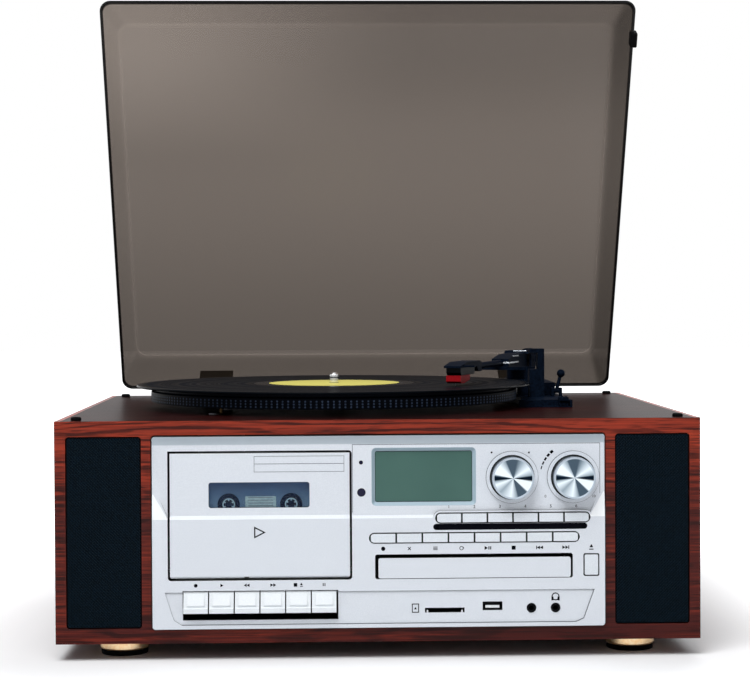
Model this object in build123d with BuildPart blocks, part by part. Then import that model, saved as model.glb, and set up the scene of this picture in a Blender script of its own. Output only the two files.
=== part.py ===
"""Stereo music centre: record deck, CD tray, tape deck and radio in one wooden cabinet.

The frame is in millimetres: X to the right, Y towards the back, Z up. The origin lies on the floor
at the centre of the cabinet's footprint. The lid stands open and the stylus is over the record.
"""

from build123d import *
from math import asin, cos, radians, sin
import os

# ---- Cabinet
case_width = 440
case_depth = 347
case_height = 151.5
board = 9  # thickness of every board
side_lip = 4  # strip of the side panels that shows beside the top board
foot_height = 12

front_y = -case_depth / 2
back_y = case_depth / 2
base_z = foot_height
deck_z = foot_height + case_height
inner_front_y = front_y + board
inner_width = case_width - 2 * board

# ---- Clearances
shadow_gap = 0.9  # fascia and grilles in the front board
running = 0.05  # radial, shaft in bore
button_gap = 0.75  # round a row of buttons, and round the tray button
cap_gap = 1.1  # between the caps of a row
soft_gap = 0.3

# ---- Fascia: heights are above the underside of the case, depths are from the front board's face
fascia_width = 308
fascia_low, fascia_high = board + 1, case_height - board - 1.7
fascia_centre_z = base_z + (fascia_low + fascia_high) / 2
upper_proud, lower_proud = 1.0, 3.0
plate_back = 1.5
step_low, step_high = 84.5, 86.9
lip_drop = 4.3
skirt_wall = 2
recess_depth = 0.8
ramp_width, ramp_rise = 10, 14
ramp_low_in, ramp_high_in, ramp_cut_in = 10.2, 4, 12  # in from the fascia's ends
panel_left, panel_right, panel_high, panel_proud = -17.8, 150.6, 134.4, 0.4
panel_bevel_x, panel_bevel_up = 143.6, 100
strip_left, strip_right, strip_high, strip_low = -145.6, 146.8, 35, 12.6
strip_bevel_x, strip_bevel_up_left, strip_bevel_up_right, strip_foot_x = 139.5, 16, 15, 134
surround_wall = 1.2  # round the row of function buttons
knob_ring_proud = 1.2

# ---- Cassette door, its window and the cassette
cassette_width, cassette_height, cassette_depth = 100.4, 63.8, 8.7
door_width, door_height = cassette_width + 21.6, cassette_height + 21
door_centre_x, door_low = -fascia_width / 2 + 12 + door_width / 2, 44.5
door_gap = 1.5
door_axis_up, door_axis_in = 6, 1.0
door_notch_x = door_centre_x - 9.2
door_pin_r, door_pin_length = 1.5, 2.6
window_width, window_height, window_corner_r = 68.5, 17.3, 1.7
window_centre_x, window_centre_up = door_centre_x - 0.5, 100.8
pane_rim, pane_thickness = 3, 1
cassette_thick_depth, cassette_thick_height = 12, 16
cassette_low = 59
cassette_mid_y = 7.7
hub_spacing, hub_up, hub_hole_r = 42.5, 35.2, 5
holder_wall = 1.5

# ---- Piano keys
key_count, key_pitch, key_low, key_high = 6, 17.4, 21.2, 35.4
key_centre_x = -81.2
key_opening_low, key_opening_high = 16.0, 36.0
key_gap, key_play_left, key_play_right = 0.8, 0.2, 0.9  # between keys, and beside the two end keys
key_shaft_in, key_shaft_up, key_shaft_r = 50, 30, 2
key_names = ["key_record", "key_play", "key_rewind", "key_fast_forward", "key_stop_eject", "key_pause"]

# ---- Push buttons
function_count, function_pitch, function_height = 6, 17.42, 6.0
function_centre_x, function_up = 91.05, 84.3
transport_count, transport_pitch, transport_height = 8, 17.78, 6.0
transport_centre_x, transport_up = 64.8, 70.95
eject_width, eject_height = 9.4, 14
eject_x, eject_up = 144.6, 51.7
button_proud = 0.6
stem_width, stem_back = 3, 7.7

# ---- Knobs
knob_r, knob_proud = 14.2, 11
knob_well_r, knob_ring_r = knob_r + 1.1, knob_r + 3.5
tuning_x, volume_x, knob_up = 90.7, 132.5, 111.6
knob_shaft_r, knob_shaft_back = 3, 11.5

# ---- Display and windows
display_width, display_height = 66.4, 34.8
display_x, display_up = 30.5, 112.55
display_frame = 2.2
lamp_x, lamp_up, lamp_r = -12.2, 122.4, 1.4
infrared_x, infrared_up, infrared_r = -12.0, 102, 2.9

# ---- CD tray and its loader
disc_r, disc_well_depth = 60.5, 6
tray_width, tray_depth, tray_thickness, tray_rise = 2 * disc_r + 7, 2 * disc_r + 47, 9, 3
slot_width, slot_low, slot_high = tray_width + 6, 43, 59.8
slot_centre_x = 64.9
tray_front_width, tray_front_height = slot_width - 2.8, 13.9
slot_play_left = 0.8  # the slot is wider than the tray front on its left side

# ---- Sockets in the lower strip
card_x, card_width, card_height = 44.4, 27, 3.2
usb_x, usb_width, usb_height, usb_up = 77, 13.1, 5.5, 24
aux_x, phones_x, jack_up, jack_r, jack_bore_r = 103.6, 120.1, 22.4, 3.2, 1.8
card_up = 21.4
jack_depth = 15

# ---- Speakers
grille_width, grille_height = 50.4, case_height - 21.7
grille_x, grille_up = (case_width + fascia_width) / 4, case_height / 2 - 0.15
grille_rebate, grille_thickness = 4, 3.5
driver_r, driver_hole_r = 24.4, 22
driver_x, driver_up = inner_width / 2 - driver_r - 0.6, 51
driver_depth = 26
flange = driver_x - driver_r - 1.6 - fascia_width / 2  # of the fascia, up to the driver

# ---- Turntable: heights are above the deck
platter_x, platter_y = -29.2, -8.5
spindle_r, spindle_top, spindle_flange_r, spindle_flange = 3.55, 26, 8, 3
platter_r, platter_low, platter_top = 139.7, 5.3, 14.0
skirt_thickness, skirt_top = 2.5, 13.6
mat_thickness = 2.3
record_r, record_thickness, record_hole_r = 150.6, 1.7, spindle_r + 0.07
drive_ring_r, drive_ring_low = 90, 5
pulley_r, pulley_low, pulley_high = 5.5, 4.6, 10
motor_x, motor_y, motor_r, motor_height = -112, -80.9, 17, 22
motor_shaft_r = 1
belt_width, belt_thickness = 4, 0.8

# ---- Tonearm: the arm points from its pivot towards the front left
pivot_x, pivot_y = 127.2, 106.5
arm_angle = 20.04
stylus_reach = 198.4
arm_axis_up = 30.8
tube_r = 2.5
swing_in = 16.7  # from rest to the end of a record's groove
plinth_height, block_height = 5.5, 15.5
plinth_right, plinth_front, plinth_back = 150, -44.5, 131
post_left, post_right, post_front, post_back, post_height = 123, 134.6, 3.2, 15, 43
lift_radius, lift_post_r = 76, 2.2
lever_x, lever_y, lever_up, lever_length = 145.3, 14, 9.8, 14
lever_lean = 3.6
selector_x, selector_width, selector_travel = 143.5, 7, 12

# ---- Lid and its hinges
lid_width, lid_depth, lid_height, lid_wall = case_width - 16.5, case_depth - 1.5, 58, 2
lid_rim_up, hinge_up, hinge_back = 2.7, 1.0, 3.5
lid_rear_gap = 4.0  # from the hinge axis forward to the lid's rear wall
lid_front_slope, lid_side_slope, lid_rear_slope = 33.4, 8.2, 4.0
lid_open_angle = 64.57
lid_corner_r = 9
hinge_x, hinge_width, knuckle_width, knuckle_r, hinge_pin_r = 131.5, 29, 11, 3, 1.5
leaf_height, leaf_thickness = 28, 2
bumper_x, bumper_r, bumper_height = lid_width / 2 - 5.25, 3.6, 2.4
bumper_front_y, bumper_back_y = front_y + 11, back_y - 19

# ---- Feet
foot_r, foot_pad_r, foot_pad_height = 17, 16.2, 3.5
foot_x, foot_y = case_width / 2 - 43, case_depth / 2 - 35


def front_at(depth):
    """Plane that faces the viewer, depth behind the front board's face; its origin is on the floor."""
    return Plane(origin=(0, front_y + depth, 0), x_dir=(1, 0, 0), z_dir=(0, -1, 0))


def up(height):
    """Height above the floor of a height above the case's underside."""
    return base_z + height


def deck(height):
    """Level plane at a height above the deck."""
    return Plane.XY.offset(deck_z + height)


def save(name, part):
    """Labels a finished piece and writes its STEP file."""
    part.label = name
    export_step(part, f"parts/{name}.step")


os.makedirs("parts", exist_ok=True)

# ======== Cabinet boards
# The top board and the front board meet in a mitre along the front edge.
top_width = case_width - 2 * side_lip
with BuildPart() as top_board:
    with BuildSketch(Plane.YZ):
        Polygon(
            (front_y, deck_z),
            (inner_front_y, deck_z - board),
            (back_y, deck_z - board),
            (back_y, deck_z),
        )
    extrude(amount=top_width / 2, both=True)
    with Locations((platter_x, platter_y, deck_z)):
        Hole(spindle_r + running)
    with Locations((motor_x, motor_y, deck_z)):
        Hole(pulley_r + 2)
save("top_board", top_board.part)

with BuildPart() as cabinet_shell:
    with BuildSketch(front_at(board)):
        with Locations((0, base_z)):
            Rectangle(case_width, case_height, align=(Align.CENTER, Align.MIN))
        with Locations((0, base_z + board)):
            Rectangle(inner_width, case_height, align=(Align.CENTER, Align.MIN), mode=Mode.SUBTRACT)
        with Locations((0, deck_z - board)):
            Rectangle(top_width, 2 * board, align=(Align.CENTER, Align.MIN), mode=Mode.SUBTRACT)
    extrude(amount=-(case_depth - board))
save("cabinet_shell", cabinet_shell.part)

with BuildPart() as front_board:
    with BuildSketch(front_at(0)):
        with Locations((0, base_z)):
            Rectangle(case_width, case_height, align=(Align.CENTER, Align.MIN))
        with Locations((0, fascia_centre_z)):
            RectangleRounded(
                fascia_width + 2 * shadow_gap,
                fascia_high - fascia_low + 2 * shadow_gap,
                2.8,
                mode=Mode.SUBTRACT,
            )
        with Locations((-driver_x, up(driver_up)), (driver_x, up(driver_up))):
            Circle(driver_hole_r, mode=Mode.SUBTRACT)
    extrude(amount=-board)
    with BuildSketch(front_at(0)):
        with Locations((-grille_x, up(grille_up)), (grille_x, up(grille_up))):
            RectangleRounded(grille_width + 0.8, grille_height + 0.8, 2.4)
    extrude(amount=-grille_rebate, mode=Mode.SUBTRACT)
    with BuildSketch(Plane.YZ):
        Polygon((front_y, deck_z), (inner_front_y, deck_z - board), (inner_front_y, deck_z))
    extrude(amount=top_width / 2, both=True, mode=Mode.SUBTRACT)
save("front_board", front_board.part)

socket_plate_x, socket_plate_up = -90, 48
screw_r, screw_head_r, screw_head_height, screw_length = 1.6, 3.2, 1.6, 8
screw_x = inner_width / 2 - 11
rear_screws = [(x, up(z)) for x in (-screw_x, 0, screw_x) for z in (20, case_height - 20.5)]
with BuildPart() as rear_board:
    with BuildSketch(front_at(case_depth)):
        with Locations((0, base_z + board)):
            Rectangle(inner_width, case_height - 2 * board, align=(Align.CENTER, Align.MIN))
        with Locations((socket_plate_x, up(socket_plate_up))):
            Rectangle(64, 22, mode=Mode.SUBTRACT)
        with Locations(*rear_screws):
            Circle(screw_r, mode=Mode.SUBTRACT)
    extrude(amount=board)
save("rear_board", rear_board.part)

# ======== Fascia
# One moulding: a recessed upper zone, a proud lower zone with a chamfer between them, a lip that
# slopes in along the top, a skirt behind it and a flange at each side that holds it to the board.
fascia_half = fascia_width / 2
door_low_z, door_high_z = up(door_low) - door_gap, up(door_low) + door_height + door_gap
door_opening_width = door_width + 2 * door_gap
door_axis_z = up(door_low + door_axis_up)
door_axis_y = front_y + door_axis_in
with BuildPart() as front_fascia:
    with BuildSketch(Plane.YZ):
        Polygon(
            (front_y + plate_back, up(fascia_low)),
            (front_y - lower_proud, up(fascia_low)),
            (front_y - lower_proud, up(step_low)),
            (front_y - upper_proud, up(step_high)),
            (front_y - upper_proud, up(fascia_high - lip_drop)),
            (front_y - lower_proud, up(fascia_high)),
            (front_y + plate_back, up(fascia_high)),
        )
    extrude(amount=fascia_half, both=True)
    fillet(front_fascia.edges().filter_by(Axis.Y).group_by(SortBy.LENGTH)[-1], 2)
    # long ramps at the two ends of the chamfer
    ramp_top = step_high + ramp_rise
    for side in (-1, 1):
        with BuildSketch(Plane.YZ.offset(side * (fascia_half - ramp_width / 2))):
            Polygon(
                (front_y - upper_proud, up(step_low)),
                (front_y - lower_proud, up(step_low)),
                (front_y - upper_proud, up(ramp_top)),
            )
        extrude(amount=ramp_width / 2, both=True)
        with BuildSketch(front_at(-upper_proud)):
            Polygon(
                (side * (fascia_half - ramp_low_in), up(step_high)),
                (side * (fascia_half - ramp_high_in), up(ramp_top)),
                (side * (fascia_half - ramp_cut_in), up(ramp_top)),
                (side * (fascia_half - ramp_cut_in), up(step_high)),
            )
        extrude(amount=lower_proud, mode=Mode.SUBTRACT)
    # raised panel round the display and the knobs
    with BuildSketch(front_at(-upper_proud)):
        Polygon(
            (panel_left, up(step_high - 1)),
            (panel_left, up(panel_high)),
            (panel_right, up(panel_high)),
            (panel_right, up(panel_bevel_up)),
            (panel_bevel_x, up(step_high - 1)),
        )
    extrude(amount=panel_proud)
    # surround of the function buttons
    with BuildSketch(front_at(-upper_proud)):
        with Locations((function_centre_x, up(function_up))):
            surround = 2 * (button_gap + surround_wall)
            SlotOverall(function_count * function_pitch + surround, function_height + surround)
    extrude(amount=lower_proud - upper_proud)
    # recessed strip at the foot
    with BuildSketch(front_at(-lower_proud)):
        Polygon(
            (strip_left, up(strip_high)),
            (strip_right, up(strip_high)),
            (strip_bevel_x, up(strip_bevel_up_right)),
            (strip_foot_x, up(strip_low)),
            (-strip_foot_x, up(strip_low)),
            (-strip_bevel_x, up(strip_bevel_up_left)),
        )
    extrude(amount=-recess_depth, mode=Mode.SUBTRACT)
    # rings round the knobs
    with BuildSketch(front_at(-upper_proud)):
        with Locations((tuning_x, up(knob_up)), (volume_x, up(knob_up))):
            Circle(knob_ring_r)
    extrude(amount=knob_ring_proud)
    with BuildSketch(front_at(-lower_proud)):
        with Locations((tuning_x, up(knob_up)), (volume_x, up(knob_up))):
            Circle(knob_well_r)
    extrude(amount=-(lower_proud - upper_proud + 1.5), mode=Mode.SUBTRACT)
    # every opening in the plate
    with BuildSketch(front_at(-lower_proud - 1)):
        with Locations((tuning_x, up(knob_up)), (volume_x, up(knob_up))):
            Circle(knob_shaft_r + 1)
        with Locations((display_x, up(display_up))):
            RectangleRounded(display_width, display_height, 1.5)
        with Locations((lamp_x, up(lamp_up))):
            Circle(lamp_r)
        with Locations((infrared_x, up(infrared_up))):
            Circle(infrared_r)
        with Locations((function_centre_x, up(function_up))):
            SlotOverall(function_count * function_pitch + 2 * button_gap, function_height + 2 * button_gap)
        with Locations((transport_centre_x, up(transport_up))):
            SlotOverall(transport_count * transport_pitch + 2 * button_gap, transport_height + 2 * button_gap)
        with Locations((eject_x, up(eject_up))):
            RectangleRounded(eject_width + 2 * button_gap, eject_height + 2 * button_gap, 1.2)
        with Locations((slot_centre_x - slot_play_left / 2, up((slot_low + slot_high) / 2))):
            RectangleRounded(slot_width + slot_play_left, slot_high - slot_low, 1.6)
        with Locations((door_centre_x, (door_low_z + door_high_z) / 2)):
            RectangleRounded(door_opening_width, door_high_z - door_low_z, 2.2)
        with Locations((door_centre_x - door_opening_width / 2, door_high_z)):
            Rectangle(6, 6, align=(Align.MIN, Align.MAX))
        key_opening_x = key_centre_x + (key_play_right - key_play_left) / 2
        with Locations((key_opening_x, up((key_opening_low + key_opening_high) / 2))):
            Rectangle(
                key_count * key_pitch + key_play_left + key_play_right,
                key_opening_high - key_opening_low,
            )
        with Locations((card_x, up(card_up))):
            Rectangle(card_width, card_height)
        with Locations((usb_x, up(usb_up))):
            Rectangle(usb_width + 0.4, usb_height + 0.4)
        with Locations((aux_x, up(jack_up)), (phones_x, up(jack_up))):
            Circle(jack_r + 0.1)
    extrude(amount=-(lower_proud + plate_back + 2), mode=Mode.SUBTRACT)
    # chamfered frame of the display
    with BuildSketch(front_at(-upper_proud - panel_proud)):
        with Locations((display_x, up(display_up))):
            frame_reach = 2 * display_frame
            RectangleRounded(display_width + frame_reach, display_height + frame_reach, 2.5)
    extrude(amount=-2, taper=45, mode=Mode.SUBTRACT)
    # skirt and side flanges
    with BuildSketch(front_at(plate_back)):
        with Locations((0, fascia_centre_z)):
            RectangleRounded(fascia_width, fascia_high - fascia_low, 2)
            Rectangle(
                fascia_width - 2 * skirt_wall,
                fascia_high - fascia_low - 2 * skirt_wall,
                mode=Mode.SUBTRACT,
            )
    extrude(amount=-(board - plate_back))
    for side in (-1, 1):
        with BuildSketch(front_at(board)):
            with Locations((side * (fascia_half + flange / 2 - skirt_wall / 2), fascia_centre_z)):
                Rectangle(flange + skirt_wall, fascia_high - fascia_low - 10)
        extrude(amount=-2)
        # bearing for the door's pin
        with BuildSketch(front_at(-upper_proud)):
            with Locations((door_centre_x + side * (door_opening_width / 2 + 2), door_axis_z)):
                Rectangle(4, 9)
        extrude(amount=-7)
    with BuildSketch(Plane.YZ.offset(door_centre_x)):
        with Locations((door_axis_y, door_axis_z)):
            Circle(door_pin_r + running)
    extrude(amount=door_opening_width / 2 + 3, both=True, mode=Mode.SUBTRACT)
save("front_fascia", front_fascia.part)

# ======== Speaker grilles and drivers
grille_edge, grille_sink = 1.2, 0.5
basket_rim, basket_flange, basket_r, magnet_in, coil_r = 3.5, 2, 16.5, 16, 13
cone_apex_in, cone_throat_r, cone_paper = 9.5, 7, 2.5
with BuildPart() as speaker_grilles:
    with BuildSketch(front_at(grille_rebate)):
        with Locations((-grille_x, up(grille_up)), (grille_x, up(grille_up))):
            RectangleRounded(grille_width, grille_height, 2)
    extrude(amount=grille_thickness)
    with BuildSketch(front_at(grille_rebate - grille_thickness)):
        with Locations((-grille_x, up(grille_up)), (grille_x, up(grille_up))):
            RectangleRounded(grille_width - 2 * grille_edge, grille_height - 2 * grille_edge, grille_edge)
    extrude(amount=-grille_sink, mode=Mode.SUBTRACT)
save("speaker_grilles", speaker_grilles.part)

driver_solids = []
for side in (-1, 1):
    seat = (side * driver_x, inner_front_y, up(driver_up))
    driver_section = Plane(origin=seat, x_dir=(1, 0, 0), z_dir=(0, 0, 1))
    with BuildPart() as driver_frame:
        with BuildSketch(driver_section):
            Polygon(
                (driver_r - basket_rim, 0),
                (driver_r, 0),
                (driver_r, basket_flange),
                (driver_r - basket_flange, basket_flange),
                (basket_r, magnet_in),
                (basket_r, driver_depth),
                (0, driver_depth),
                (0, magnet_in + 1),
                (coil_r, magnet_in + 1),
                (driver_r - basket_rim, basket_flange - 0.5),
            )
        revolve(axis=Axis(seat, (0, 1, 0)))
    with BuildPart() as driver_cone:
        with BuildSketch(driver_section):
            Polygon(
                (0, cone_apex_in),
                (cone_throat_r, cone_apex_in),
                (driver_r - basket_rim - 0.7, 0.3),
                (driver_r - basket_rim - 0.3, 1.2),
                (cone_throat_r + 1, cone_apex_in + cone_paper),
                (0, cone_apex_in + cone_paper),
            )
        revolve(axis=Axis(seat, (0, 1, 0)))
    driver_solids += [driver_frame.part, driver_cone.part]
save("speaker_drivers", Compound(children=driver_solids))

# ======== Display window, infrared window and lamp: clear pieces pressed in from behind
lens_front = 0.6
with BuildPart() as display_lens:
    with BuildSketch(front_at(plate_back)):
        with Locations((display_x, up(display_up))):
            Rectangle(display_width + 2 * pane_rim, display_height + 2 * pane_rim)
        with Locations((lamp_x, up(lamp_up))):
            Circle(lamp_r + 1)
        with Locations((infrared_x, up(infrared_up))):
            Circle(infrared_r + 1)
    extrude(amount=-pane_thickness)
    with BuildSketch(front_at(plate_back)):
        with Locations((display_x, up(display_up))):
            RectangleRounded(display_width - 0.2, display_height - 0.2, 1.4)
    extrude(amount=plate_back - lens_front)
    with BuildSketch(front_at(plate_back)):
        with Locations((lamp_x, up(lamp_up))):
            Circle(lamp_r - running)
        with Locations((infrared_x, up(infrared_up))):
            Circle(infrared_r - running)
    extrude(amount=plate_back + upper_proud)
save("display_lens", display_lens.part)

# ======== Piano keys of the tape deck: each turns on the shaft behind them
key_shaft_y, key_shaft_z = front_y + key_shaft_in, up(key_shaft_up)
key_width = key_pitch - key_gap
key_left_x = key_centre_x - key_count * key_pitch / 2
lever_low, lever_high = up(key_shaft_up - 4), up(key_shaft_up + 2.5)
key_lip_y, key_lip_z = front_y - lower_proud - 4, up(key_low)
key_back_y = front_y + 9
key_lip_height, key_slope_in, key_slope_up = 3.2, 1.4, 3.8
pad_up, pad_rise, pad_end_down, pad_side_in = 4.6, 0.8, 1.6, 2.4
key_lever_width, key_hub_r = 6, 4
for number, name in enumerate(key_names):
    key_x = key_left_x + (number + 0.5) * key_pitch
    with BuildPart() as key:
        with BuildSketch(Plane.YZ.offset(key_x)):
            Polygon(
                (key_lip_y, key_lip_z),
                (key_lip_y, key_lip_z + key_lip_height),
                (key_lip_y + key_slope_in, key_lip_z + key_slope_up),
                (front_y - lower_proud + 0.9, up(key_high)),
                (key_back_y, up(key_high)),
                (key_back_y, key_lip_z),
            )
        extrude(amount=key_width / 2, both=True)
        # raised pad on the slope
        with BuildSketch(Plane.YZ.offset(key_x)):
            Polygon(
                (key_lip_y + 1.2, key_lip_z + pad_up),
                (key_lip_y + 1.0, key_lip_z + pad_up + pad_rise),
                (front_y - lower_proud + 0.2, up(key_high - pad_end_down)),
                (front_y - lower_proud + 2.0, up(key_high - pad_end_down)),
                (key_lip_y + 3, key_lip_z + pad_up),
            )
        extrude(amount=key_width / 2 - pad_side_in, both=True)
        # lever back to the shaft
        with BuildSketch(Plane.YZ.offset(key_x)):
            Polygon(
                (key_back_y - 1, lever_low),
                (key_back_y - 1, lever_high),
                (key_shaft_y, key_shaft_z + key_hub_r),
                (key_shaft_y, key_shaft_z - key_hub_r),
            )
            with Locations((key_shaft_y, key_shaft_z)):
                Circle(key_hub_r)
                Circle(key_shaft_r + running, mode=Mode.SUBTRACT)
        extrude(amount=key_lever_width / 2, both=True)
    save(name, key.part)

# ======== Push buttons: a row is one capsule cut into equal caps, each with a stem to its switch
def make_button(name, centre, size, corner_r):
    """Cap with rounded corners and its stem; centre and size are (x, z) on the front."""
    with BuildPart() as button:
        with BuildSketch(front_at(plate_back)):
            with Locations(centre):
                RectangleRounded(*size, corner_r)
        extrude(amount=plate_back + lower_proud + button_proud)
        fillet(button.faces().sort_by(Axis.Y)[0].edges(), 0.4)
        with BuildSketch(front_at(plate_back)):
            with Locations(centre):
                Rectangle(stem_width, stem_width)
        extrude(amount=-(stem_back - plate_back))
    save(name, button.part)


def make_button_row(prefix, count, pitch, height, centre_x, centre_z):
    """Row of caps inside one capsule: the two end caps have a round outer end."""
    left = centre_x - count * pitch / 2
    for number in range(count):
        with BuildPart() as button:
            with BuildSketch(front_at(plate_back)):
                with Locations((centre_x, centre_z)):
                    SlotOverall(count * pitch, height)
                with Locations((left + (number + 0.5) * pitch, centre_z)):
                    Rectangle(pitch - cap_gap, height, mode=Mode.INTERSECT)
            extrude(amount=plate_back + lower_proud + button_proud)
            with BuildSketch(front_at(plate_back)):
                with Locations((left + (number + 0.5) * pitch, centre_z)):
                    Rectangle(stem_width, stem_width)
            extrude(amount=-(stem_back - plate_back))
        save(f"{prefix}_{number + 1}", button.part)


make_button_row(
    "function_button",
    function_count,
    function_pitch,
    function_height,
    function_centre_x,
    up(function_up),
)
make_button_row(
    "transport_button",
    transport_count,
    transport_pitch,
    transport_height,
    transport_centre_x,
    up(transport_up),
)
make_button("eject_button", (eject_x, up(eject_up)), (eject_width, eject_height), 1)

# ======== Knobs: turned caps on shafts
knob_base_in, knob_chamfer = 0.2, 1
for name, knob_x in (("tuning_knob", tuning_x), ("volume_knob", volume_x)):
    with BuildPart() as knob:
        with BuildSketch(front_at(knob_base_in)):
            with Locations((knob_x, up(knob_up))):
                Circle(knob_r)
        extrude(amount=knob_proud + knob_base_in)
        chamfer(knob.faces().sort_by(Axis.Y)[0].edges(), knob_chamfer)
        with BuildSketch(front_at(knob_base_in)):
            with Locations((knob_x, up(knob_up))):
                Circle(knob_shaft_r)
        extrude(amount=-(knob_shaft_back - knob_base_in))
    save(name, knob.part)

# ======== CD tray and loader
tray_low = up(slot_low + tray_rise)
tray_front_z = up(slot_low + 0.4 + tray_front_height / 2)
tray_well_y = front_y + 14 + disc_r
pickup_slot_r = 18
with BuildPart() as cd_tray:
    with BuildSketch(front_at(plate_back)):
        with Locations((slot_centre_x, tray_front_z)):
            RectangleRounded(tray_front_width, tray_front_height, 1.4)
    extrude(amount=plate_back + lower_proud)
    with BuildSketch(Plane.XY.offset(tray_low)):
        with Locations((slot_centre_x, front_y + plate_back)):
            Rectangle(tray_width, tray_depth, align=(Align.CENTER, Align.MIN))
    extrude(amount=tray_thickness)
    with BuildSketch(Plane.XY.offset(tray_low + tray_thickness)):
        with Locations((slot_centre_x, tray_well_y)):
            Circle(disc_r)
    extrude(amount=-disc_well_depth, mode=Mode.SUBTRACT)
    # slot for the disc motor and the pickup
    with BuildSketch(Plane.XY.offset(tray_low)):
        with Locations((slot_centre_x, tray_well_y)):
            Rectangle(2 * pickup_slot_r, tray_depth, align=(Align.CENTER, Align.MIN))
            Circle(pickup_slot_r)
    extrude(amount=tray_thickness, mode=Mode.SUBTRACT)
save("cd_tray", cd_tray.part)

loader_wall, loader_height = 2, 26
loader_front_y, loader_depth = front_y + 16, 170
loader_low = tray_low - soft_gap - 9
rail_gap, rail_width, rail_cover = 0.4, 5, 2
bridge_in, bridge_depth = 66, 24
loader_leg_x, loader_leg_in, loader_leg_r = 60, 20, 4
disc_motor_r, disc_hub_r, disc_hub_height = 13, 7, 1.5
with BuildPart() as loader_frame:
    with BuildSketch(front_at(loader_front_y - front_y)):
        with Locations((slot_centre_x, loader_low)):
            outer_width = tray_width + 2 * (rail_gap + loader_wall)
            Rectangle(outer_width, loader_height, align=(Align.CENTER, Align.MIN))
        with Locations((slot_centre_x, loader_low + loader_wall)):
            channel_width = tray_width + 2 * rail_gap
            Rectangle(channel_width, loader_height, align=(Align.CENTER, Align.MIN), mode=Mode.SUBTRACT)
        # rails under the edges of the tray
        for side in (-1, 1):
            with Locations((slot_centre_x + side * (tray_width / 2 - rail_cover), loader_low)):
                Rectangle(rail_width, tray_low - soft_gap - loader_low, align=(Align.CENTER, Align.MIN))
    extrude(amount=-loader_depth)
    # bridge that carries the disc clamp
    with BuildSketch(front_at(loader_front_y - front_y + bridge_in)):
        with Locations((slot_centre_x, loader_low + loader_height - loader_wall)):
            Rectangle(outer_width, loader_wall, align=(Align.CENTER, Align.MIN))
    extrude(amount=-bridge_depth)
    # legs that stand on the bottom board
    with BuildSketch(Plane.XY.offset(base_z + board)):
        for leg_x in (-loader_leg_x, loader_leg_x):
            for leg_y in (loader_leg_in, loader_depth - loader_leg_in):
                with Locations((slot_centre_x + leg_x, loader_front_y + leg_y)):
                    Circle(loader_leg_r)
    extrude(amount=loader_low - base_z - board)
with BuildPart() as disc_motor:
    with BuildSketch(Plane.XY.offset(loader_low + loader_wall)):
        with Locations((slot_centre_x, tray_well_y)):
            Circle(disc_motor_r)
    extrude(amount=tray_low - loader_low - loader_wall - 1)
    with BuildSketch(Plane.XY.offset(tray_low - 1)):
        with Locations((slot_centre_x, tray_well_y)):
            Circle(disc_hub_r)
    extrude(amount=disc_hub_height)
save("cd_loader", Compound(children=[loader_frame.part, disc_motor.part]))

# ======== Circuit boards
control_in, board_thickness = 12, 1.6
socket_board_up = 16
switch_width, switch_height, switch_depth = 6, 3.5, 3
encoder_size, encoder_depth = 14, 7
control_left, control_low, control_width, control_height = -17, 63, 169, 70
tab_left, tab_low, tab_width, tab_height = 139, 42, 13, 22  # behind the tray button
spacer_r, post_r = 2.5, 3
spacers = [(-13.5, 88), (-13.5, 66), (148.5, 129), (148.5, 67)]
socket_board_left, socket_board_width, socket_board_depth = 28, 102, 27
socket_posts_x, socket_posts_in = (60, 114), 26
with BuildPart() as control_board:
    with BuildSketch(front_at(control_in)):
        with Locations((control_left, up(control_low))):
            Rectangle(control_width, control_height, align=(Align.MIN, Align.MIN))
        with Locations((tab_left, up(tab_low))):
            Rectangle(tab_width, tab_height, align=(Align.MIN, Align.MIN))
    extrude(amount=-board_thickness)
    with BuildSketch(front_at(control_in)):
        for number in range(function_count):
            with Locations((function_centre_x + (number - 2.5) * function_pitch, up(function_up))):
                Rectangle(switch_width, switch_height)
        for number in range(transport_count):
            with Locations((transport_centre_x + (number - 3.5) * transport_pitch, up(transport_up))):
                Rectangle(switch_width, switch_height)
        with Locations((eject_x, up(eject_up))):
            Rectangle(switch_width, switch_height)
    extrude(amount=switch_depth)
    # display module and encoders
    with BuildSketch(front_at(control_in)):
        with Locations((display_x, up(display_up))):
            Rectangle(display_width + 2, display_height + 2)
    extrude(amount=control_in - plate_back - pane_thickness - 0.1)
    with BuildSketch(front_at(control_in)):
        with Locations((tuning_x, up(knob_up)), (volume_x, up(knob_up))):
            Rectangle(encoder_size, encoder_size)
    extrude(amount=encoder_depth)
    with BuildSketch(front_at(control_in - encoder_depth)):
        with Locations((tuning_x, up(knob_up)), (volume_x, up(knob_up))):
            Circle(knob_shaft_r + running)
    extrude(amount=-encoder_depth, mode=Mode.SUBTRACT)
    # infrared receiver and lamp
    with BuildSketch(front_at(control_in)):
        with Locations((infrared_x, up(infrared_up)), (lamp_x, up(lamp_up))):
            Rectangle(4, 5)
    extrude(amount=6)
    # spacers up to the fascia
    with BuildSketch(front_at(control_in)):
        with Locations(*((spacer_x, up(height)) for spacer_x, height in spacers)):
            Circle(spacer_r)
    extrude(amount=control_in - plate_back)
with BuildPart() as socket_board:
    with BuildSketch(Plane.XY.offset(up(socket_board_up))):
        with Locations((socket_board_left, front_y + 3)):
            Rectangle(socket_board_width, socket_board_depth, align=(Align.MIN, Align.MIN))
    extrude(amount=-board_thickness)
    with BuildSketch(Plane.XY.offset(base_z + board)):
        with Locations(*((post_x, front_y + socket_posts_in) for post_x in socket_posts_x)):
            Circle(post_r)
    extrude(amount=socket_board_up - board_thickness - board)
amplifier_x, amplifier_y, amplifier_width, amplifier_depth = -95, 90, 190, 110
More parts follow.
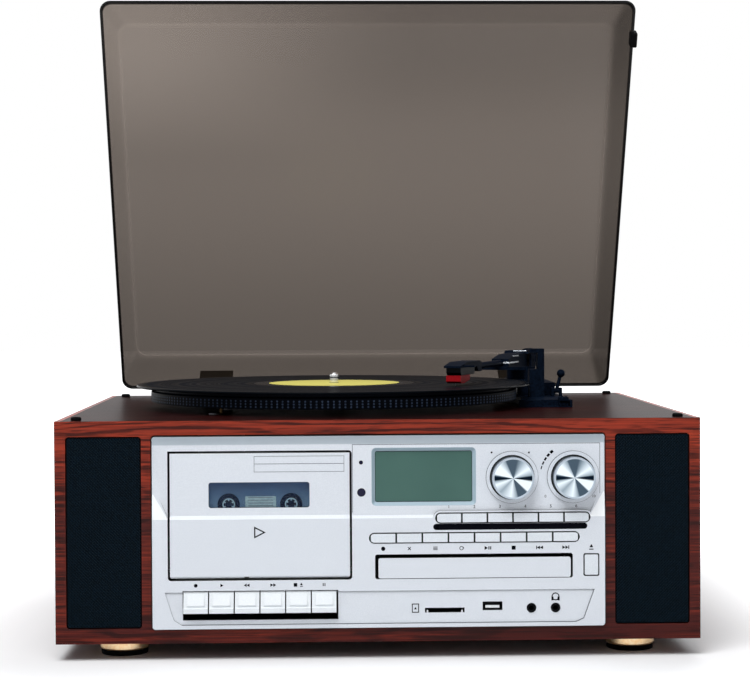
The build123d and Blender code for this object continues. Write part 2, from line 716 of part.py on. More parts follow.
with BuildPart() as amplifier_board:
    with BuildSketch(Plane.XY.offset(up(socket_board_up))):
        with Locations((amplifier_x, amplifier_y)):
            Rectangle(amplifier_width, amplifier_depth)
    extrude(amount=board_thickness)
    with BuildSketch(Plane.XY.offset(base_z + board)):
        with GridLocations(amplifier_width - 16, amplifier_depth - 16, 2, 2):
            with Locations((amplifier_x, amplifier_y)):
                Circle(post_r)
    extrude(amount=socket_board_up - board)
    # transformer, heat sink and two large capacitors
    with BuildSketch(Plane.XY.offset(up(socket_board_up + board_thickness))):
        with Locations((amplifier_x - 62, amplifier_y + 10)):
            Rectangle(48, 42)
    extrude(amount=38)
    with BuildSketch(Plane.XY.offset(up(socket_board_up + board_thickness))):
        with Locations((amplifier_x + 50, amplifier_y - 20)):
            Rectangle(60, 4)
            for fin in range(7):
                with Locations((-27 + 9 * fin, 6)):
                    Rectangle(2, 10)
    extrude(amount=30)
    with BuildSketch(Plane.XY.offset(up(socket_board_up + board_thickness))):
        with Locations((amplifier_x - 12, amplifier_y - 25), (amplifier_x - 12, amplifier_y)):
            Circle(9)
    extrude(amount=26)
save("circuit_boards", Compound(children=[control_board.part, socket_board.part, amplifier_board.part]))

# ======== Sockets at the front: memory card, USB and two 3.5 mm jacks
socket_face = lower_proud - recess_depth
with BuildPart() as card_socket:
    with BuildSketch(front_at(plate_back)):
        with Locations((card_x, up(socket_board_up))):
            Rectangle(card_width + 3, 8, align=(Align.CENTER, Align.MIN))
    extrude(amount=-24)
    with BuildSketch(front_at(plate_back)):
        with Locations((card_x, up(card_up))):
            Rectangle(card_width - 1, card_height - 0.6)
    extrude(amount=-22, mode=Mode.SUBTRACT)
with BuildPart() as usb_socket:
    with BuildSketch(front_at(-socket_face)):
        with Locations((usb_x, up(usb_up))):
            Rectangle(usb_width, usb_height)
            Rectangle(usb_width - 1, usb_height - 1, mode=Mode.SUBTRACT)
    extrude(amount=-14)
    with BuildSketch(front_at(-socket_face + 1)):
        with Locations((usb_x, up(usb_up + 1.1))):
            Rectangle(usb_width - 3, 1.6)
    extrude(amount=-14)
    with BuildSketch(front_at(12 - socket_face)):
        with Locations((usb_x, up(socket_board_up))):
            Rectangle(usb_width, usb_up + usb_height / 2 - socket_board_up, align=(Align.CENTER, Align.MIN))
    extrude(amount=-4)
jack_solids = []
for jack_x in (aux_x, phones_x):
    with BuildPart() as jack:
        with BuildSketch(front_at(-socket_face - 0.4)):
            with Locations((jack_x, up(jack_up))):
                Circle(jack_r)
        extrude(amount=-6)
        with BuildSketch(front_at(plate_back + 0.5)):
            with Locations((jack_x, up(socket_board_up))):
                Rectangle(8.4, 11, align=(Align.CENTER, Align.MIN))
        extrude(amount=-13.5)
        with BuildSketch(front_at(-socket_face - 0.4)):
            with Locations((jack_x, up(jack_up))):
                Circle(jack_bore_r)
        extrude(amount=-jack_depth, mode=Mode.SUBTRACT)
    jack_solids.append(jack.part)
save("front_sockets", Compound(children=[card_socket.part, usb_socket.part] + jack_solids))

# ======== Sockets at the rear: a pair of phono sockets and the low-voltage power inlet
rear_plate_width, rear_plate_height, rear_plate_lap = 72, 30, 4.1
phono_x, phono_r, phono_bore_r, phono_collar_r = (-20, -4), 4.2, 1.6, 5
inlet_x, inlet_body_r, inlet_r, inlet_pin_r, inlet_depth = 20, 7, 2.8, 1.05, 10
with BuildPart() as rear_plate:
    with BuildSketch(front_at(case_depth - board)):
        with Locations((socket_plate_x, up(socket_plate_up))):
            Rectangle(rear_plate_width, rear_plate_height)
    extrude(amount=2)
    with BuildSketch(front_at(case_depth - board)):
        with Locations((socket_plate_x, up(socket_plate_up))):
            Rectangle(rear_plate_width - 2 * rear_plate_lap, rear_plate_height - 2 * rear_plate_lap)
    extrude(amount=-(board - 3))
    # phono sockets
    for socket_x in phono_x:
        with BuildSketch(front_at(case_depth - 3)):
            with Locations((socket_plate_x + socket_x, up(socket_plate_up))):
                Circle(phono_r)
                Circle(phono_bore_r, mode=Mode.SUBTRACT)
        extrude(amount=-11)
        with BuildSketch(front_at(case_depth - board)):
            with Locations((socket_plate_x + socket_x, up(socket_plate_up))):
                Circle(phono_collar_r)
        extrude(amount=12)
    # power inlet with its centre pin
    with BuildSketch(front_at(case_depth - board - 14)):
        with Locations((socket_plate_x + inlet_x, up(socket_plate_up))):
            Circle(inlet_body_r)
    extrude(amount=-(board + 12))
    with BuildSketch(front_at(case_depth - 2)):
        with Locations((socket_plate_x + inlet_x, up(socket_plate_up))):
            Circle(inlet_r)
            Circle(inlet_pin_r, mode=Mode.SUBTRACT)
    extrude(amount=inlet_depth, mode=Mode.SUBTRACT)
save("rear_sockets", rear_plate.part)

# ======== Screws: the rear board's and the two that show on the deck
deck_screws = [(-116, -110.6), (-108.4, -51.7)]
with BuildPart() as case_screws:
    with BuildSketch(front_at(case_depth)):
        with Locations(*rear_screws):
            Circle(screw_head_r)
    extrude(amount=-screw_head_height)
    with BuildSketch(front_at(case_depth)):
        with Locations(*rear_screws):
            Circle(screw_r)
    extrude(amount=screw_length)
    with BuildSketch(deck(0)):
        with Locations(*deck_screws):
            Circle(screw_head_r)
    extrude(amount=screw_head_height)
save("case_screws", case_screws.part)

# ======== Feet: metal rings with rubber pads
feet = [(x, y) for x in (-foot_x, foot_x) for y in (-foot_y, foot_y)]
with BuildPart() as foot_rings:
    with BuildSketch(Plane.XY.offset(foot_pad_height)):
        with Locations(*feet):
            Circle(foot_r)
    extrude(amount=foot_height - foot_pad_height)
    chamfer(foot_rings.faces().filter_by(Plane.XY).group_by(Axis.Z)[0].edges(), 0.8)
save("foot_rings", foot_rings.part)
with BuildPart() as foot_pads:
    with BuildSketch():
        with Locations(*feet):
            Circle(foot_pad_r)
    extrude(amount=foot_pad_height)
save("foot_pads", foot_pads.part)

# ======== Turntable: motor, spindle, platter with mat, record, pulley and belt
motor_top = -board
with BuildPart() as turntable_motor:
    with BuildSketch(deck(motor_top)):
        with Locations((motor_x, motor_y)):
            Circle(motor_r)
    extrude(amount=-motor_height)
    with BuildSketch(deck(motor_top)):
        with Locations((motor_x, motor_y)):
            Circle(motor_shaft_r + running)
    extrude(amount=-motor_height + 4, mode=Mode.SUBTRACT)
save("turntable_motor", turntable_motor.part)

with BuildPart() as motor_pulley:
    with BuildSketch(deck(pulley_low)):
        with Locations((motor_x, motor_y)):
            Circle(pulley_r)
    extrude(amount=pulley_high - pulley_low)
    with BuildSketch(deck(pulley_low)):
        with Locations((motor_x, motor_y)):
            Circle(motor_shaft_r)
    extrude(amount=motor_top - motor_height + 5 - pulley_low)
save("motor_pulley", motor_pulley.part)

belt_low = drive_ring_low + (pulley_high - drive_ring_low - belt_width) / 2
with BuildPart() as drive_belt:
    with BuildSketch(deck(belt_low)):
        for grow, mode in ((belt_thickness, Mode.ADD), (0, Mode.SUBTRACT)):
            with BuildSketch(mode=Mode.PRIVATE) as loop:
                with Locations((platter_x, platter_y)):
                    Circle(drive_ring_r + soft_gap + grow)
                with Locations((motor_x, motor_y)):
                    Circle(pulley_r + soft_gap + grow)
                make_hull()
            add(loop.sketch, mode=mode)
    extrude(amount=belt_width)
save("drive_belt", drive_belt.part)

with BuildPart() as spindle:
    with BuildSketch(deck(-board)):
        with Locations((platter_x, platter_y)):
            Circle(spindle_r)
    extrude(amount=board + spindle_top)
    chamfer(spindle.faces().sort_by(Axis.Z)[-1].edges(), 1.6)
    with BuildSketch(deck(0)):
        with Locations((platter_x, platter_y)):
            Circle(spindle_flange_r)
    extrude(amount=spindle_flange)
save("spindle", spindle.part)

platter_bore_r = spindle_r + running
platter_plate = 3.5
platter_section = Plane(origin=(platter_x, platter_y, deck_z), x_dir=(1, 0, 0), z_dir=(0, -1, 0))
platter_axis = Axis((platter_x, platter_y, 0), (0, 0, 1))
mat_r, mat_inner_r = platter_r - skirt_thickness, 8
hub_clear_r, drive_ring_wall, skirt_chamfer, record_chamfer = 12, 2, 0.6, 0.5
with BuildPart() as platter_metal:
    with BuildSketch(platter_section):
        Polygon(
            (platter_bore_r, spindle_flange + soft_gap),
            (hub_clear_r, spindle_flange + soft_gap),
            (hub_clear_r, platter_top - platter_plate),
            (drive_ring_r - drive_ring_wall, platter_top - platter_plate),
            (drive_ring_r - drive_ring_wall, drive_ring_low),
            (drive_ring_r, drive_ring_low),
            (drive_ring_r, platter_top - platter_plate),
            (platter_r - skirt_thickness, platter_top - platter_plate),
            (platter_r - skirt_thickness, platter_low),
            (platter_r, platter_low),
            (platter_r, skirt_top - skirt_chamfer),
            (platter_r - skirt_chamfer, skirt_top),
            (mat_r, platter_top),
            (platter_bore_r, platter_top),
        )
    revolve(axis=platter_axis)
with BuildPart() as platter_mat:
    with BuildSketch(platter_section):
        Polygon(
            (mat_inner_r, platter_top),
            (mat_r, platter_top),
            (mat_r, platter_top + mat_thickness),
            (mat_inner_r, platter_top + mat_thickness),
        )
    revolve(axis=platter_axis)
save("platter", Compound(children=[platter_metal.part, platter_mat.part]))

record_low = platter_top + mat_thickness
with BuildPart() as record:
    with BuildSketch(deck(record_low)):
        with Locations((platter_x, platter_y)):
            Circle(record_r)
            Circle(record_hole_r, mode=Mode.SUBTRACT)
    extrude(amount=record_thickness)
    chamfer(record.edges().filter_by(GeomType.CIRCLE).group_by(SortBy.RADIUS)[-1], record_chamfer)
save("record", record.part)

# ======== Tonearm: base with arm rest, turret, arm, cartridge, lift and lever
turn = radians(arm_angle)
arm_plane = Plane(origin=(pivot_x, pivot_y, deck_z), x_dir=(cos(turn), -sin(turn), 0), z_dir=(0, 0, 1))


def arm_level(height):
    """Plane of the arm at a height above the deck: local -Y points along the tube to the headshell."""
    return arm_plane.offset(height)


def arm_across(forward):
    """Plane square to the tube, forward of the pivot; local y is the height above the deck."""
    origin = arm_plane.from_local_coords((0, -forward, 0))
    return Plane(origin=origin, x_dir=arm_plane.x_dir, z_dir=-arm_plane.y_dir)


def arm_side(offset):
    """Plane along the tube, offset to its right; local x is forward of the pivot, y the height."""
    origin = arm_plane.from_local_coords((offset, 0, 0))
    return Plane(origin=origin, x_dir=-arm_plane.y_dir, z_dir=-arm_plane.x_dir)


turret_r, turret_low, turret_high, turret_pin_r = 11.5, block_height + soft_gap, 23.5, 2
cheek_inner, cheek_outer, cheek_length, cheek_top = 9, 11, 14, 36
tilt_pin_r = 1.2
lift_angle = radians(2)
lift_post_x = pivot_x - lift_radius * sin(lift_angle)
lift_post_y = pivot_y - lift_radius * cos(lift_angle)
block_left, block_right, block_front, block_back = 116, 146, 28, 128
slot_low_up, slot_high_up, slot_right = 27, 40, 129.5
bracket_half, bracket_top, bracket_slot, bracket_depth = 3.5, 12, 4.4, 6
plinth_left, plinth_clear = 106, 3.8  # the plinth is cut round the platter
lever_pin_r = 1
selector_track, selector_floor = 7, 0.8
with BuildPart() as tonearm_base:
    with BuildSketch(deck(0)):
        with Locations((plinth_left, plinth_front)):
            Rectangle(plinth_right - plinth_left, plinth_back - plinth_front, align=(Align.MIN, Align.MIN))
        with Locations((platter_x, platter_y)):
            Circle(platter_r + plinth_clear, mode=Mode.SUBTRACT)
    extrude(amount=plinth_height)
    with BuildSketch(deck(plinth_height)):
        with Locations((block_left, block_front)):
            Rectangle(block_right - block_left, block_back - block_front, align=(Align.MIN, Align.MIN))
    extrude(amount=block_height - plinth_height)
    # arm rest: a post with a slot that is open towards the record
    with BuildSketch(deck(plinth_height)):
        with Locations((post_left, post_front)):
            Rectangle(post_right - post_left, post_back - post_front, align=(Align.MIN, Align.MIN))
    extrude(amount=post_height - plinth_height)
    with BuildSketch(deck(slot_low_up)):
        with Locations((slot_right, post_front)):
            Rectangle(slot_right - post_left, post_back - post_front, align=(Align.MAX, Align.MIN))
    extrude(amount=slot_high_up - slot_low_up, mode=Mode.SUBTRACT)
    # bracket of the lift lever
    with BuildSketch(deck(plinth_height)):
        with Locations((lever_x, lever_y)):
            Rectangle(2 * bracket_half + 1.4, bracket_depth)
    extrude(amount=bracket_top - plinth_height)
    with BuildSketch(deck(plinth_height)):
        with Locations((lever_x, lever_y)):
            Rectangle(bracket_slot, bracket_depth)
    extrude(amount=bracket_top - plinth_height, mode=Mode.SUBTRACT)
    with BuildSketch(Plane.YZ.offset(lever_x)):
        with Locations((lever_y, deck_z + lever_up)):
            Circle(lever_pin_r + running)
    extrude(amount=2 * bracket_half, both=True, mode=Mode.SUBTRACT)
    # track of the speed selector
    with BuildSketch(deck(plinth_height)):
        with Locations((selector_x + selector_width / 2 + 1, plinth_front)):
            track_length = selector_travel + selector_width + 2
            Rectangle(track_length, selector_track, align=(Align.MAX, Align.MIN))
    extrude(amount=-(plinth_height - selector_floor), mode=Mode.SUBTRACT)
    # bores for the turret's pin and the lift's post
    with BuildSketch(deck(block_height)):
        with Locations((pivot_x, pivot_y)):
            Circle(turret_pin_r + running)
        with Locations((lift_post_x, lift_post_y)):
            Circle(lift_post_r + running)
    extrude(amount=-(block_height - 1.5), mode=Mode.SUBTRACT)
save("tonearm_base", tonearm_base.part)

with BuildPart() as tonearm_turret:
    with BuildSketch(arm_level(turret_low)):
        Circle(turret_r)
    extrude(amount=turret_high - turret_low)
    with BuildSketch(arm_level(turret_high)):
        with Locations((-(cheek_inner + cheek_outer) / 2, 0), ((cheek_inner + cheek_outer) / 2, 0)):
            Rectangle(cheek_outer - cheek_inner, cheek_length)
    extrude(amount=cheek_top - turret_high)
    with BuildSketch(arm_side(0)):
        with Locations((0, arm_axis_up)):
            Circle(tilt_pin_r + running)
    extrude(amount=cheek_outer + 1, both=True, mode=Mode.SUBTRACT)
    with BuildSketch(arm_level(turret_low)):
        Circle(turret_pin_r)
    extrude(amount=-(turret_low - 2))
save("tonearm_turret", tonearm_turret.part)

shell_width, shell_front, shell_back = 13, stylus_reach + 8, stylus_reach - 50.4
shell_low, shell_roof, shell_high, shell_nose = 27.5, 31.5, 35.6, 33
housing_back, housing_low, housing_width, tube_start = -22, 26, 14, 60
housing_nose_start, housing_nose_low, housing_front, housing_nose_high = 54, 27.5, 68, 34
housing_ridge_forward, housing_ridge, housing_rear_ridge = 46, 37, 38.5
cap_half, cap_low, cap_top, cap_slope, cap_width = 14, 36.8, 39.2, 2, 21
weight_r, weight_length = 8.5, 12
lift_tab_length, lift_tab_width, lift_tab_thickness, lift_tab_up = 8, 4, 1.4, 32
with BuildPart() as tonearm:
    with BuildSketch(arm_across(tube_start)):
        with Locations((0, arm_axis_up)):
            Circle(tube_r)
    extrude(amount=shell_back + 2 - tube_start)
    # bearing housing with a sloping nose, cap and counterweight
    with BuildSketch(arm_side(0)):
        Polygon(
            (housing_back, housing_low),
            (housing_nose_start, housing_low),
            (housing_front, housing_nose_low),
            (housing_front, housing_nose_high),
            (housing_ridge_forward, housing_ridge),
            (housing_back, housing_rear_ridge),
        )
    extrude(amount=housing_width / 2, both=True)
    with BuildSketch(arm_side(0)):
        Polygon(
            (-cap_half, cap_low),
            (cap_half, cap_low),
            (cap_half - cap_slope, cap_top),
            (cap_slope - cap_half, cap_top),
        )
    extrude(amount=cap_width / 2, both=True)
    with BuildSketch(arm_across(housing_back)):
        with Locations((0, arm_axis_up + 1)):
            Circle(weight_r)
    extrude(amount=-weight_length)
    with BuildSketch(arm_side(0)):
        with Locations((0, arm_axis_up)):
            Circle(tilt_pin_r)
    extrude(amount=cheek_outer - 0.2, both=True)
    # headshell
    with BuildSketch(arm_side(0)):
        Polygon(
            (shell_back, shell_low),
            (shell_back, shell_high - 1.1),
            (shell_back + 6, shell_high),
            (shell_front - 16, shell_high),
            (shell_front, shell_nose),
            (shell_front, shell_roof),
            (shell_back + 14, shell_roof),
            (shell_back + 10, shell_low),
        )
    extrude(amount=shell_width / 2, both=True)
    # finger lift
    with BuildSketch(arm_level(lift_tab_up)):
        with Locations((shell_width / 2, -(shell_front - 10))):
            Rectangle(lift_tab_length, lift_tab_width, align=(Align.MIN, Align.CENTER))
    extrude(amount=lift_tab_thickness)
save("tonearm", tonearm.part)

tip_r, tip_point_r, tip_top, tip_low = 0.7, 0.15, 20.2, 18.2
block_top, cartridge_width, cartridge_back, cartridge_front = 26, 11, 33, 5
stylus_back, stylus_front = 20, 5.6
with BuildPart() as cartridge_body:
    with BuildSketch(arm_side(0)):
        Polygon(
            (stylus_reach - cartridge_back, block_top),
            (stylus_reach - cartridge_back, shell_roof),
            (stylus_reach + cartridge_front, shell_roof),
            (stylus_reach + cartridge_front, block_top + 2),
            (stylus_reach + cartridge_front - 2, block_top),
        )
    extrude(amount=cartridge_width / 2, both=True)
with BuildPart() as stylus_block:
    with BuildSketch(arm_side(0)):
        Polygon(
            (stylus_reach - stylus_back, tip_top + 2),
            (stylus_reach - stylus_back, block_top),
            (stylus_reach + stylus_front, block_top),
            (stylus_reach + stylus_front, tip_top + 1.5),
            (stylus_reach + 3, tip_top),
            (stylus_reach - 6, tip_top),
        )
    extrude(amount=cartridge_width / 2, both=True)
with BuildPart() as stylus_tip:
    with BuildSketch(arm_level(tip_top)):
        with Locations((0, -stylus_reach)):
            Circle(tip_r)
    with BuildSketch(arm_level(tip_low)):
        with Locations((0, -stylus_reach)):
            Circle(tip_point_r)
    loft()
save("cartridge", Compound(children=[cartridge_body.part, stylus_block.part, stylus_tip.part]))

lift_top = arm_axis_up - tube_r - soft_gap
lift_bar_width, lift_bar_height = 3, 2.5
lift_sweep = arm_angle + swing_in
with BuildPart() as cue_lift:
    with BuildSketch(deck(lift_top)):
        with Locations((pivot_x, pivot_y)):
            Circle(lift_radius + lift_bar_width / 2)
            Circle(lift_radius - lift_bar_width / 2, mode=Mode.SUBTRACT)
        bar_end = radians(lift_sweep)
        far = lift_radius * 1.6
        with Locations((pivot_x, pivot_y)):
            Polygon(
                (0, 0),
                (far * sin(lift_angle), -far * cos(lift_angle)),
                (-far * sin(bar_end / 2), -far * cos(bar_end / 2)),
                (-far * sin(bar_end), -far * cos(bar_end)),
                mode=Mode.INTERSECT,
            )
    extrude(amount=-lift_bar_height)
    with BuildSketch(deck(lift_top)):
        with Locations((lift_post_x, lift_post_y)):
            Circle(lift_post_r)
    extrude(amount=-(lift_top - 3))
save("cue_lift", cue_lift.part)

lever_tilt = asin(lever_lean / lever_length)
lever_rod_r, lever_hub_r, lever_pin_half, lever_ball_r = 1.4, 1.9, 4, 3.2
with BuildPart() as cue_lever:
    lever_foot = (lever_x, lever_y, deck_z + lever_up)
    rod_plane = Plane(
        origin=lever_foot,
        x_dir=(cos(lever_tilt), 0, -sin(lever_tilt)),
        z_dir=(sin(lever_tilt), 0, cos(lever_tilt)),
    )
    with BuildSketch(rod_plane):
        Circle(lever_rod_r)
    extrude(amount=lever_length)
    with BuildSketch(Plane.YZ.offset(lever_x)):
        with Locations((lever_y, deck_z + lever_up)):
            Circle(lever_hub_r)
    extrude(amount=lever_hub_r, both=True)
    with BuildSketch(Plane.YZ.offset(lever_x)):
        with Locations((lever_y, deck_z + lever_up)):
            Circle(lever_pin_r)
    extrude(amount=lever_pin_half, both=True)
    with Locations((lever_x + lever_lean, lever_y, deck_z + lever_up + lever_length * cos(lever_tilt))):
        Sphere(lever_ball_r)
save("cue_lever", cue_lever.part)

selector_low = selector_floor + soft_gap
selector_cap_low, selector_cap_height, selector_cap_depth = plinth_height - 0.6, 2.6, 8.2
rib_pitch, rib_width, rib_height = 2.2, 1, 0.7
with BuildPart() as speed_selector:
    with BuildSketch(deck(selector_low)):
        with Locations((selector_x, plinth_front + soft_gap)):
            Rectangle(selector_width, selector_track - 2 * soft_gap, align=(Align.CENTER, Align.MIN))
    extrude(amount=plinth_height - selector_low)
    with BuildSketch(deck(selector_cap_low)):
        with Locations((selector_x, plinth_front - 1.5)):
            Rectangle(selector_width, selector_cap_depth, align=(Align.CENTER, Align.MIN))
    extrude(amount=selector_cap_height)
    for rib in (-rib_pitch, 0, rib_pitch):
        with BuildSketch(deck(selector_cap_low + selector_cap_height)):
            with Locations((selector_x + rib, plinth_front - 1)):
                Rectangle(rib_width, selector_cap_depth - 1, align=(Align.CENTER, Align.MIN))
        extrude(amount=rib_height)
save("speed_selector", speed_selector.part)

# ======== Tape deck: door with its cassette holder, window, cassette and mechanism
cassette_x = door_centre_x
holder_inner = cassette_width / 2 + 0.3
holder_back = 15.2
holder_flange = 6
with BuildPart() as cassette_door:
    with BuildSketch(Plane.YZ.offset(door_centre_x)):
        Polygon(
            (front_y + plate_back, up(door_low)),
            (front_y - lower_proud + 1.2, up(door_low)),
            (front_y - lower_proud, up(door_low + 1.2)),
            (front_y - lower_proud, up(step_low)),
            (front_y - upper_proud, up(step_high)),
            (front_y - upper_proud, up(door_low + door_height)),
            (front_y + plate_back, up(door_low + door_height)),
        )
    extrude(amount=door_width / 2, both=True)
    fillet(cassette_door.edges().filter_by(Axis.Y).group_by(SortBy.LENGTH)[-1], 1.2)
    with BuildSketch(front_at(plate_back)):
        with Locations((window_centre_x, up(window_centre_up))):
            RectangleRounded(window_width, window_height, window_corner_r)
    extrude(amount=lower_proud + plate_back + 1, mode=Mode.SUBTRACT)
    # notch to open the door by, and its pins
    with BuildSketch(front_at(-lower_proud)):
        with Locations((door_notch_x, up(door_low))):
            Rectangle(3, 1, align=(Align.CENTER, Align.MIN))
    extrude(amount=-(lower_proud + plate_back), mode=Mode.SUBTRACT)
    with BuildSketch(Plane.YZ.offset(door_centre_x)):
        with Locations((door_axis_y, door_axis_z)):
            Circle(door_pin_r)
    extrude(amount=door_width / 2 + door_pin_length, both=True)
    # holder: side walls with back flanges, and the shelf under the cassette
    for side in (-1, 1):
        with BuildSketch(Plane.XY.offset(up(cassette_low - 0.3))):
            wall_x = door_centre_x + side * (holder_inner + holder_wall / 2)
            with Locations((wall_x, front_y + plate_back)):
                Rectangle(holder_wall, holder_back - plate_back, align=(Align.CENTER, Align.MIN))
            flange_x = door_centre_x + side * (holder_inner + holder_wall - holder_flange / 2)
            with Locations((flange_x, front_y + holder_back)):
                Rectangle(holder_flange, 1, align=(Align.CENTER, Align.MAX))
        extrude(amount=36)
    with BuildSketch(Plane.XY.offset(up(cassette_low - 0.3))):
        with Locations((door_centre_x, front_y + plate_back)):
            Rectangle(
                2 * (holder_inner + holder_wall),
                holder_back - plate_back,
                align=(Align.CENTER, Align.MIN),
            )
    extrude(amount=-holder_wall)
save("cassette_door", cassette_door.part)

with BuildPart() as door_window:
    with BuildSketch(front_at(plate_back)):
        with Locations((window_centre_x, up(window_centre_up))):
            Rectangle(window_width + 2 * pane_rim, window_height + 2 * pane_rim)
    extrude(amount=-pane_thickness)
    with BuildSketch(front_at(plate_back)):
        with Locations((window_centre_x, up(window_centre_up))):
            RectangleRounded(window_width - 0.2, window_height - 0.2, window_corner_r - 0.1)
    extrude(amount=plate_back + 0.6)
save("door_window", door_window.part)

hub_z = up(cassette_low + hub_up)
hubs = [(cassette_x - hub_spacing / 2, hub_z), (cassette_x + hub_spacing / 2, hub_z)]
with BuildPart() as cassette:
    with BuildSketch(front_at(cassette_mid_y)):
        with Locations((cassette_x, up(cassette_low))):
            Rectangle(cassette_width, cassette_height, align=(Align.CENTER, Align.MIN))
    extrude(amount=cassette_depth / 2, both=True)
    fillet(cassette.edges().filter_by(Axis.Y), 2)
    with BuildSketch(front_at(cassette_mid_y)):
        with Locations((cassette_x, up(cassette_low))):
            Trapezoid(cassette_width - 20, cassette_thick_height, 84, align=(Align.CENTER, Align.MIN))
    extrude(amount=cassette_thick_depth / 2, both=True)
    with BuildSketch(front_at(cassette_mid_y)):
        with Locations(*hubs):
            Circle(hub_hole_r)
    extrude(amount=cassette_thick_depth, both=True, mode=Mode.SUBTRACT)
save("cassette", cassette.part)

chassis_in, chassis_thickness = 20, 2
chassis_left, chassis_right, chassis_low, chassis_high = -140, -22, 40, 128
reel_r, reel_tip_in = 2.6, 6
with BuildPart() as tape_mechanism:
    with BuildSketch(front_at(chassis_in)):
        with Locations((chassis_left, up(chassis_low))):
            Rectangle(chassis_right - chassis_left, chassis_high - chassis_low, align=(Align.MIN, Align.MIN))
    extrude(amount=-chassis_thickness)
    # reel spindles with their bushes
    with BuildSketch(front_at(chassis_in)):
        with Locations(*hubs):
            Circle(6)
    extrude(amount=chassis_in - holder_back - 0.6)
    with BuildSketch(front_at(chassis_in)):
        with Locations(*hubs):
            Circle(reel_r)
    extrude(amount=chassis_in - reel_tip_in)
    # tape head and pinch roller
    with BuildSketch(front_at(chassis_in)):
        with Locations((cassette_x, up(cassette_low + 8))):
            Rectangle(14, 12)
        with Locations((cassette_x + 24, up(cassette_low + 8))):
            Circle(5)
    extrude(amount=chassis_in - holder_back - 0.6)
    # motor and flywheel behind the chassis
    with BuildSketch(front_at(chassis_in + chassis_thickness)):
        with Locations((cassette_x - 34, up(108))):
            Circle(15)
    extrude(amount=-26)
    with BuildSketch(front_at(chassis_in + chassis_thickness)):
        with Locations((cassette_x + 24, up(72))):
            Circle(22)
    extrude(amount=-7)
    # side ears that carry the shaft of the keys
    for ear_x in (chassis_left, chassis_right - chassis_thickness):
        with BuildSketch(Plane.YZ.offset(ear_x)):
            Polygon(
                (front_y + chassis_in, up(chassis_low)),
                (front_y + chassis_in, up(chassis_low + 30)),
                (key_shaft_y + 5, up(chassis_low + 8)),
                (key_shaft_y + 5, key_shaft_z - 5),
                (key_shaft_y - 5, key_shaft_z - 5),
                (key_shaft_y - 5, up(chassis_low - 1)),
            )
        extrude(amount=chassis_thickness)
    with BuildSketch(Plane.YZ.offset(chassis_left)):
        with Locations((key_shaft_y, key_shaft_z)):
            Circle(key_shaft_r)
    extrude(amount=chassis_right - chassis_left)
    # feet of the ears
    for ear_x in (chassis_left, chassis_right - chassis_thickness):
        with BuildSketch(Plane.XY.offset(base_z + board)):
            with Locations((ear_x, key_shaft_y - 5)):
                Rectangle(chassis_thickness, 10, align=(Align.MIN, Align.MIN))
        extrude(amount=key_shaft_z - 5 - base_z - board)
save("tape_mechanism", tape_mechanism.part)

# ======== Lid: a thin clear hood on two hinges
lid_turn = radians(lid_open_angle)
lid_plane = Plane(
    origin=(0, back_y + hinge_back, deck_z + hinge_up),
    x_dir=(1, 0, 0),
    z_dir=(0, sin(lid_turn), cos(lid_turn)),
)
lid_rim = lid_rim_up - hinge_up


def slope(angle, height):
    """How far a wall that leans by an angle has moved in at a height above the rim."""
    return height * sin(radians(angle)) / cos(radians(angle))


def lid_outline(height, inset):
    """Outline of the lid at a height above its rim: width, depth and centre, less a wall."""
    half = lid_width / 2 - slope(lid_side_slope, height) - inset
    rear = -lid_rear_gap - slope(lid_rear_slope, height) - inset
    front = -lid_rear_gap - lid_depth + slope(lid_front_slope, height) + inset / cos(radians(lid_front_slope))
    return 2 * half, rear - front, (rear + front) / 2


with BuildPart() as dust_cover:
    for inset, top, mode in ((0, lid_height, Mode.ADD), (lid_wall, lid_height - lid_wall, Mode.SUBTRACT)):
        for height in (0, top):
            width, depth, centre = lid_outline(height, inset)
            with BuildSketch(lid_plane.offset(lid_rim + height)):
                with Locations((0, centre)):
                    RectangleRounded(width, depth, lid_corner_r - inset)
        loft(mode=mode)
save("dust_cover", dust_cover.part)

axis_y, axis_z = back_y + hinge_back, deck_z + hinge_up
bracket_width, bracket_height = 24, 30
hinge_solids = []
for side in (-1, 1):
    with BuildPart() as hinge_bracket:
        with BuildSketch(front_at(case_depth)):
            with Locations((side * hinge_x, deck_z - 2.5)):
                Rectangle(bracket_width, bracket_height, align=(Align.CENTER, Align.MAX))
        extrude(amount=-leaf_thickness)
        with BuildSketch(Plane.YZ.offset(side * hinge_x)):
            Polygon(
                (back_y, axis_z - 6),
                (back_y + leaf_thickness, axis_z - 6),
                (axis_y + 2, axis_z - 2),
                (axis_y - 2.6, axis_z - 1),
            )
            with Locations((axis_y, axis_z)):
                Circle(knuckle_r)
                Circle(hinge_pin_r + running, mode=Mode.SUBTRACT)
        extrude(amount=knuckle_width / 2, both=True)
    hinge_solids.append(hinge_bracket.part)
save("hinge_brackets", Compound(children=hinge_solids))

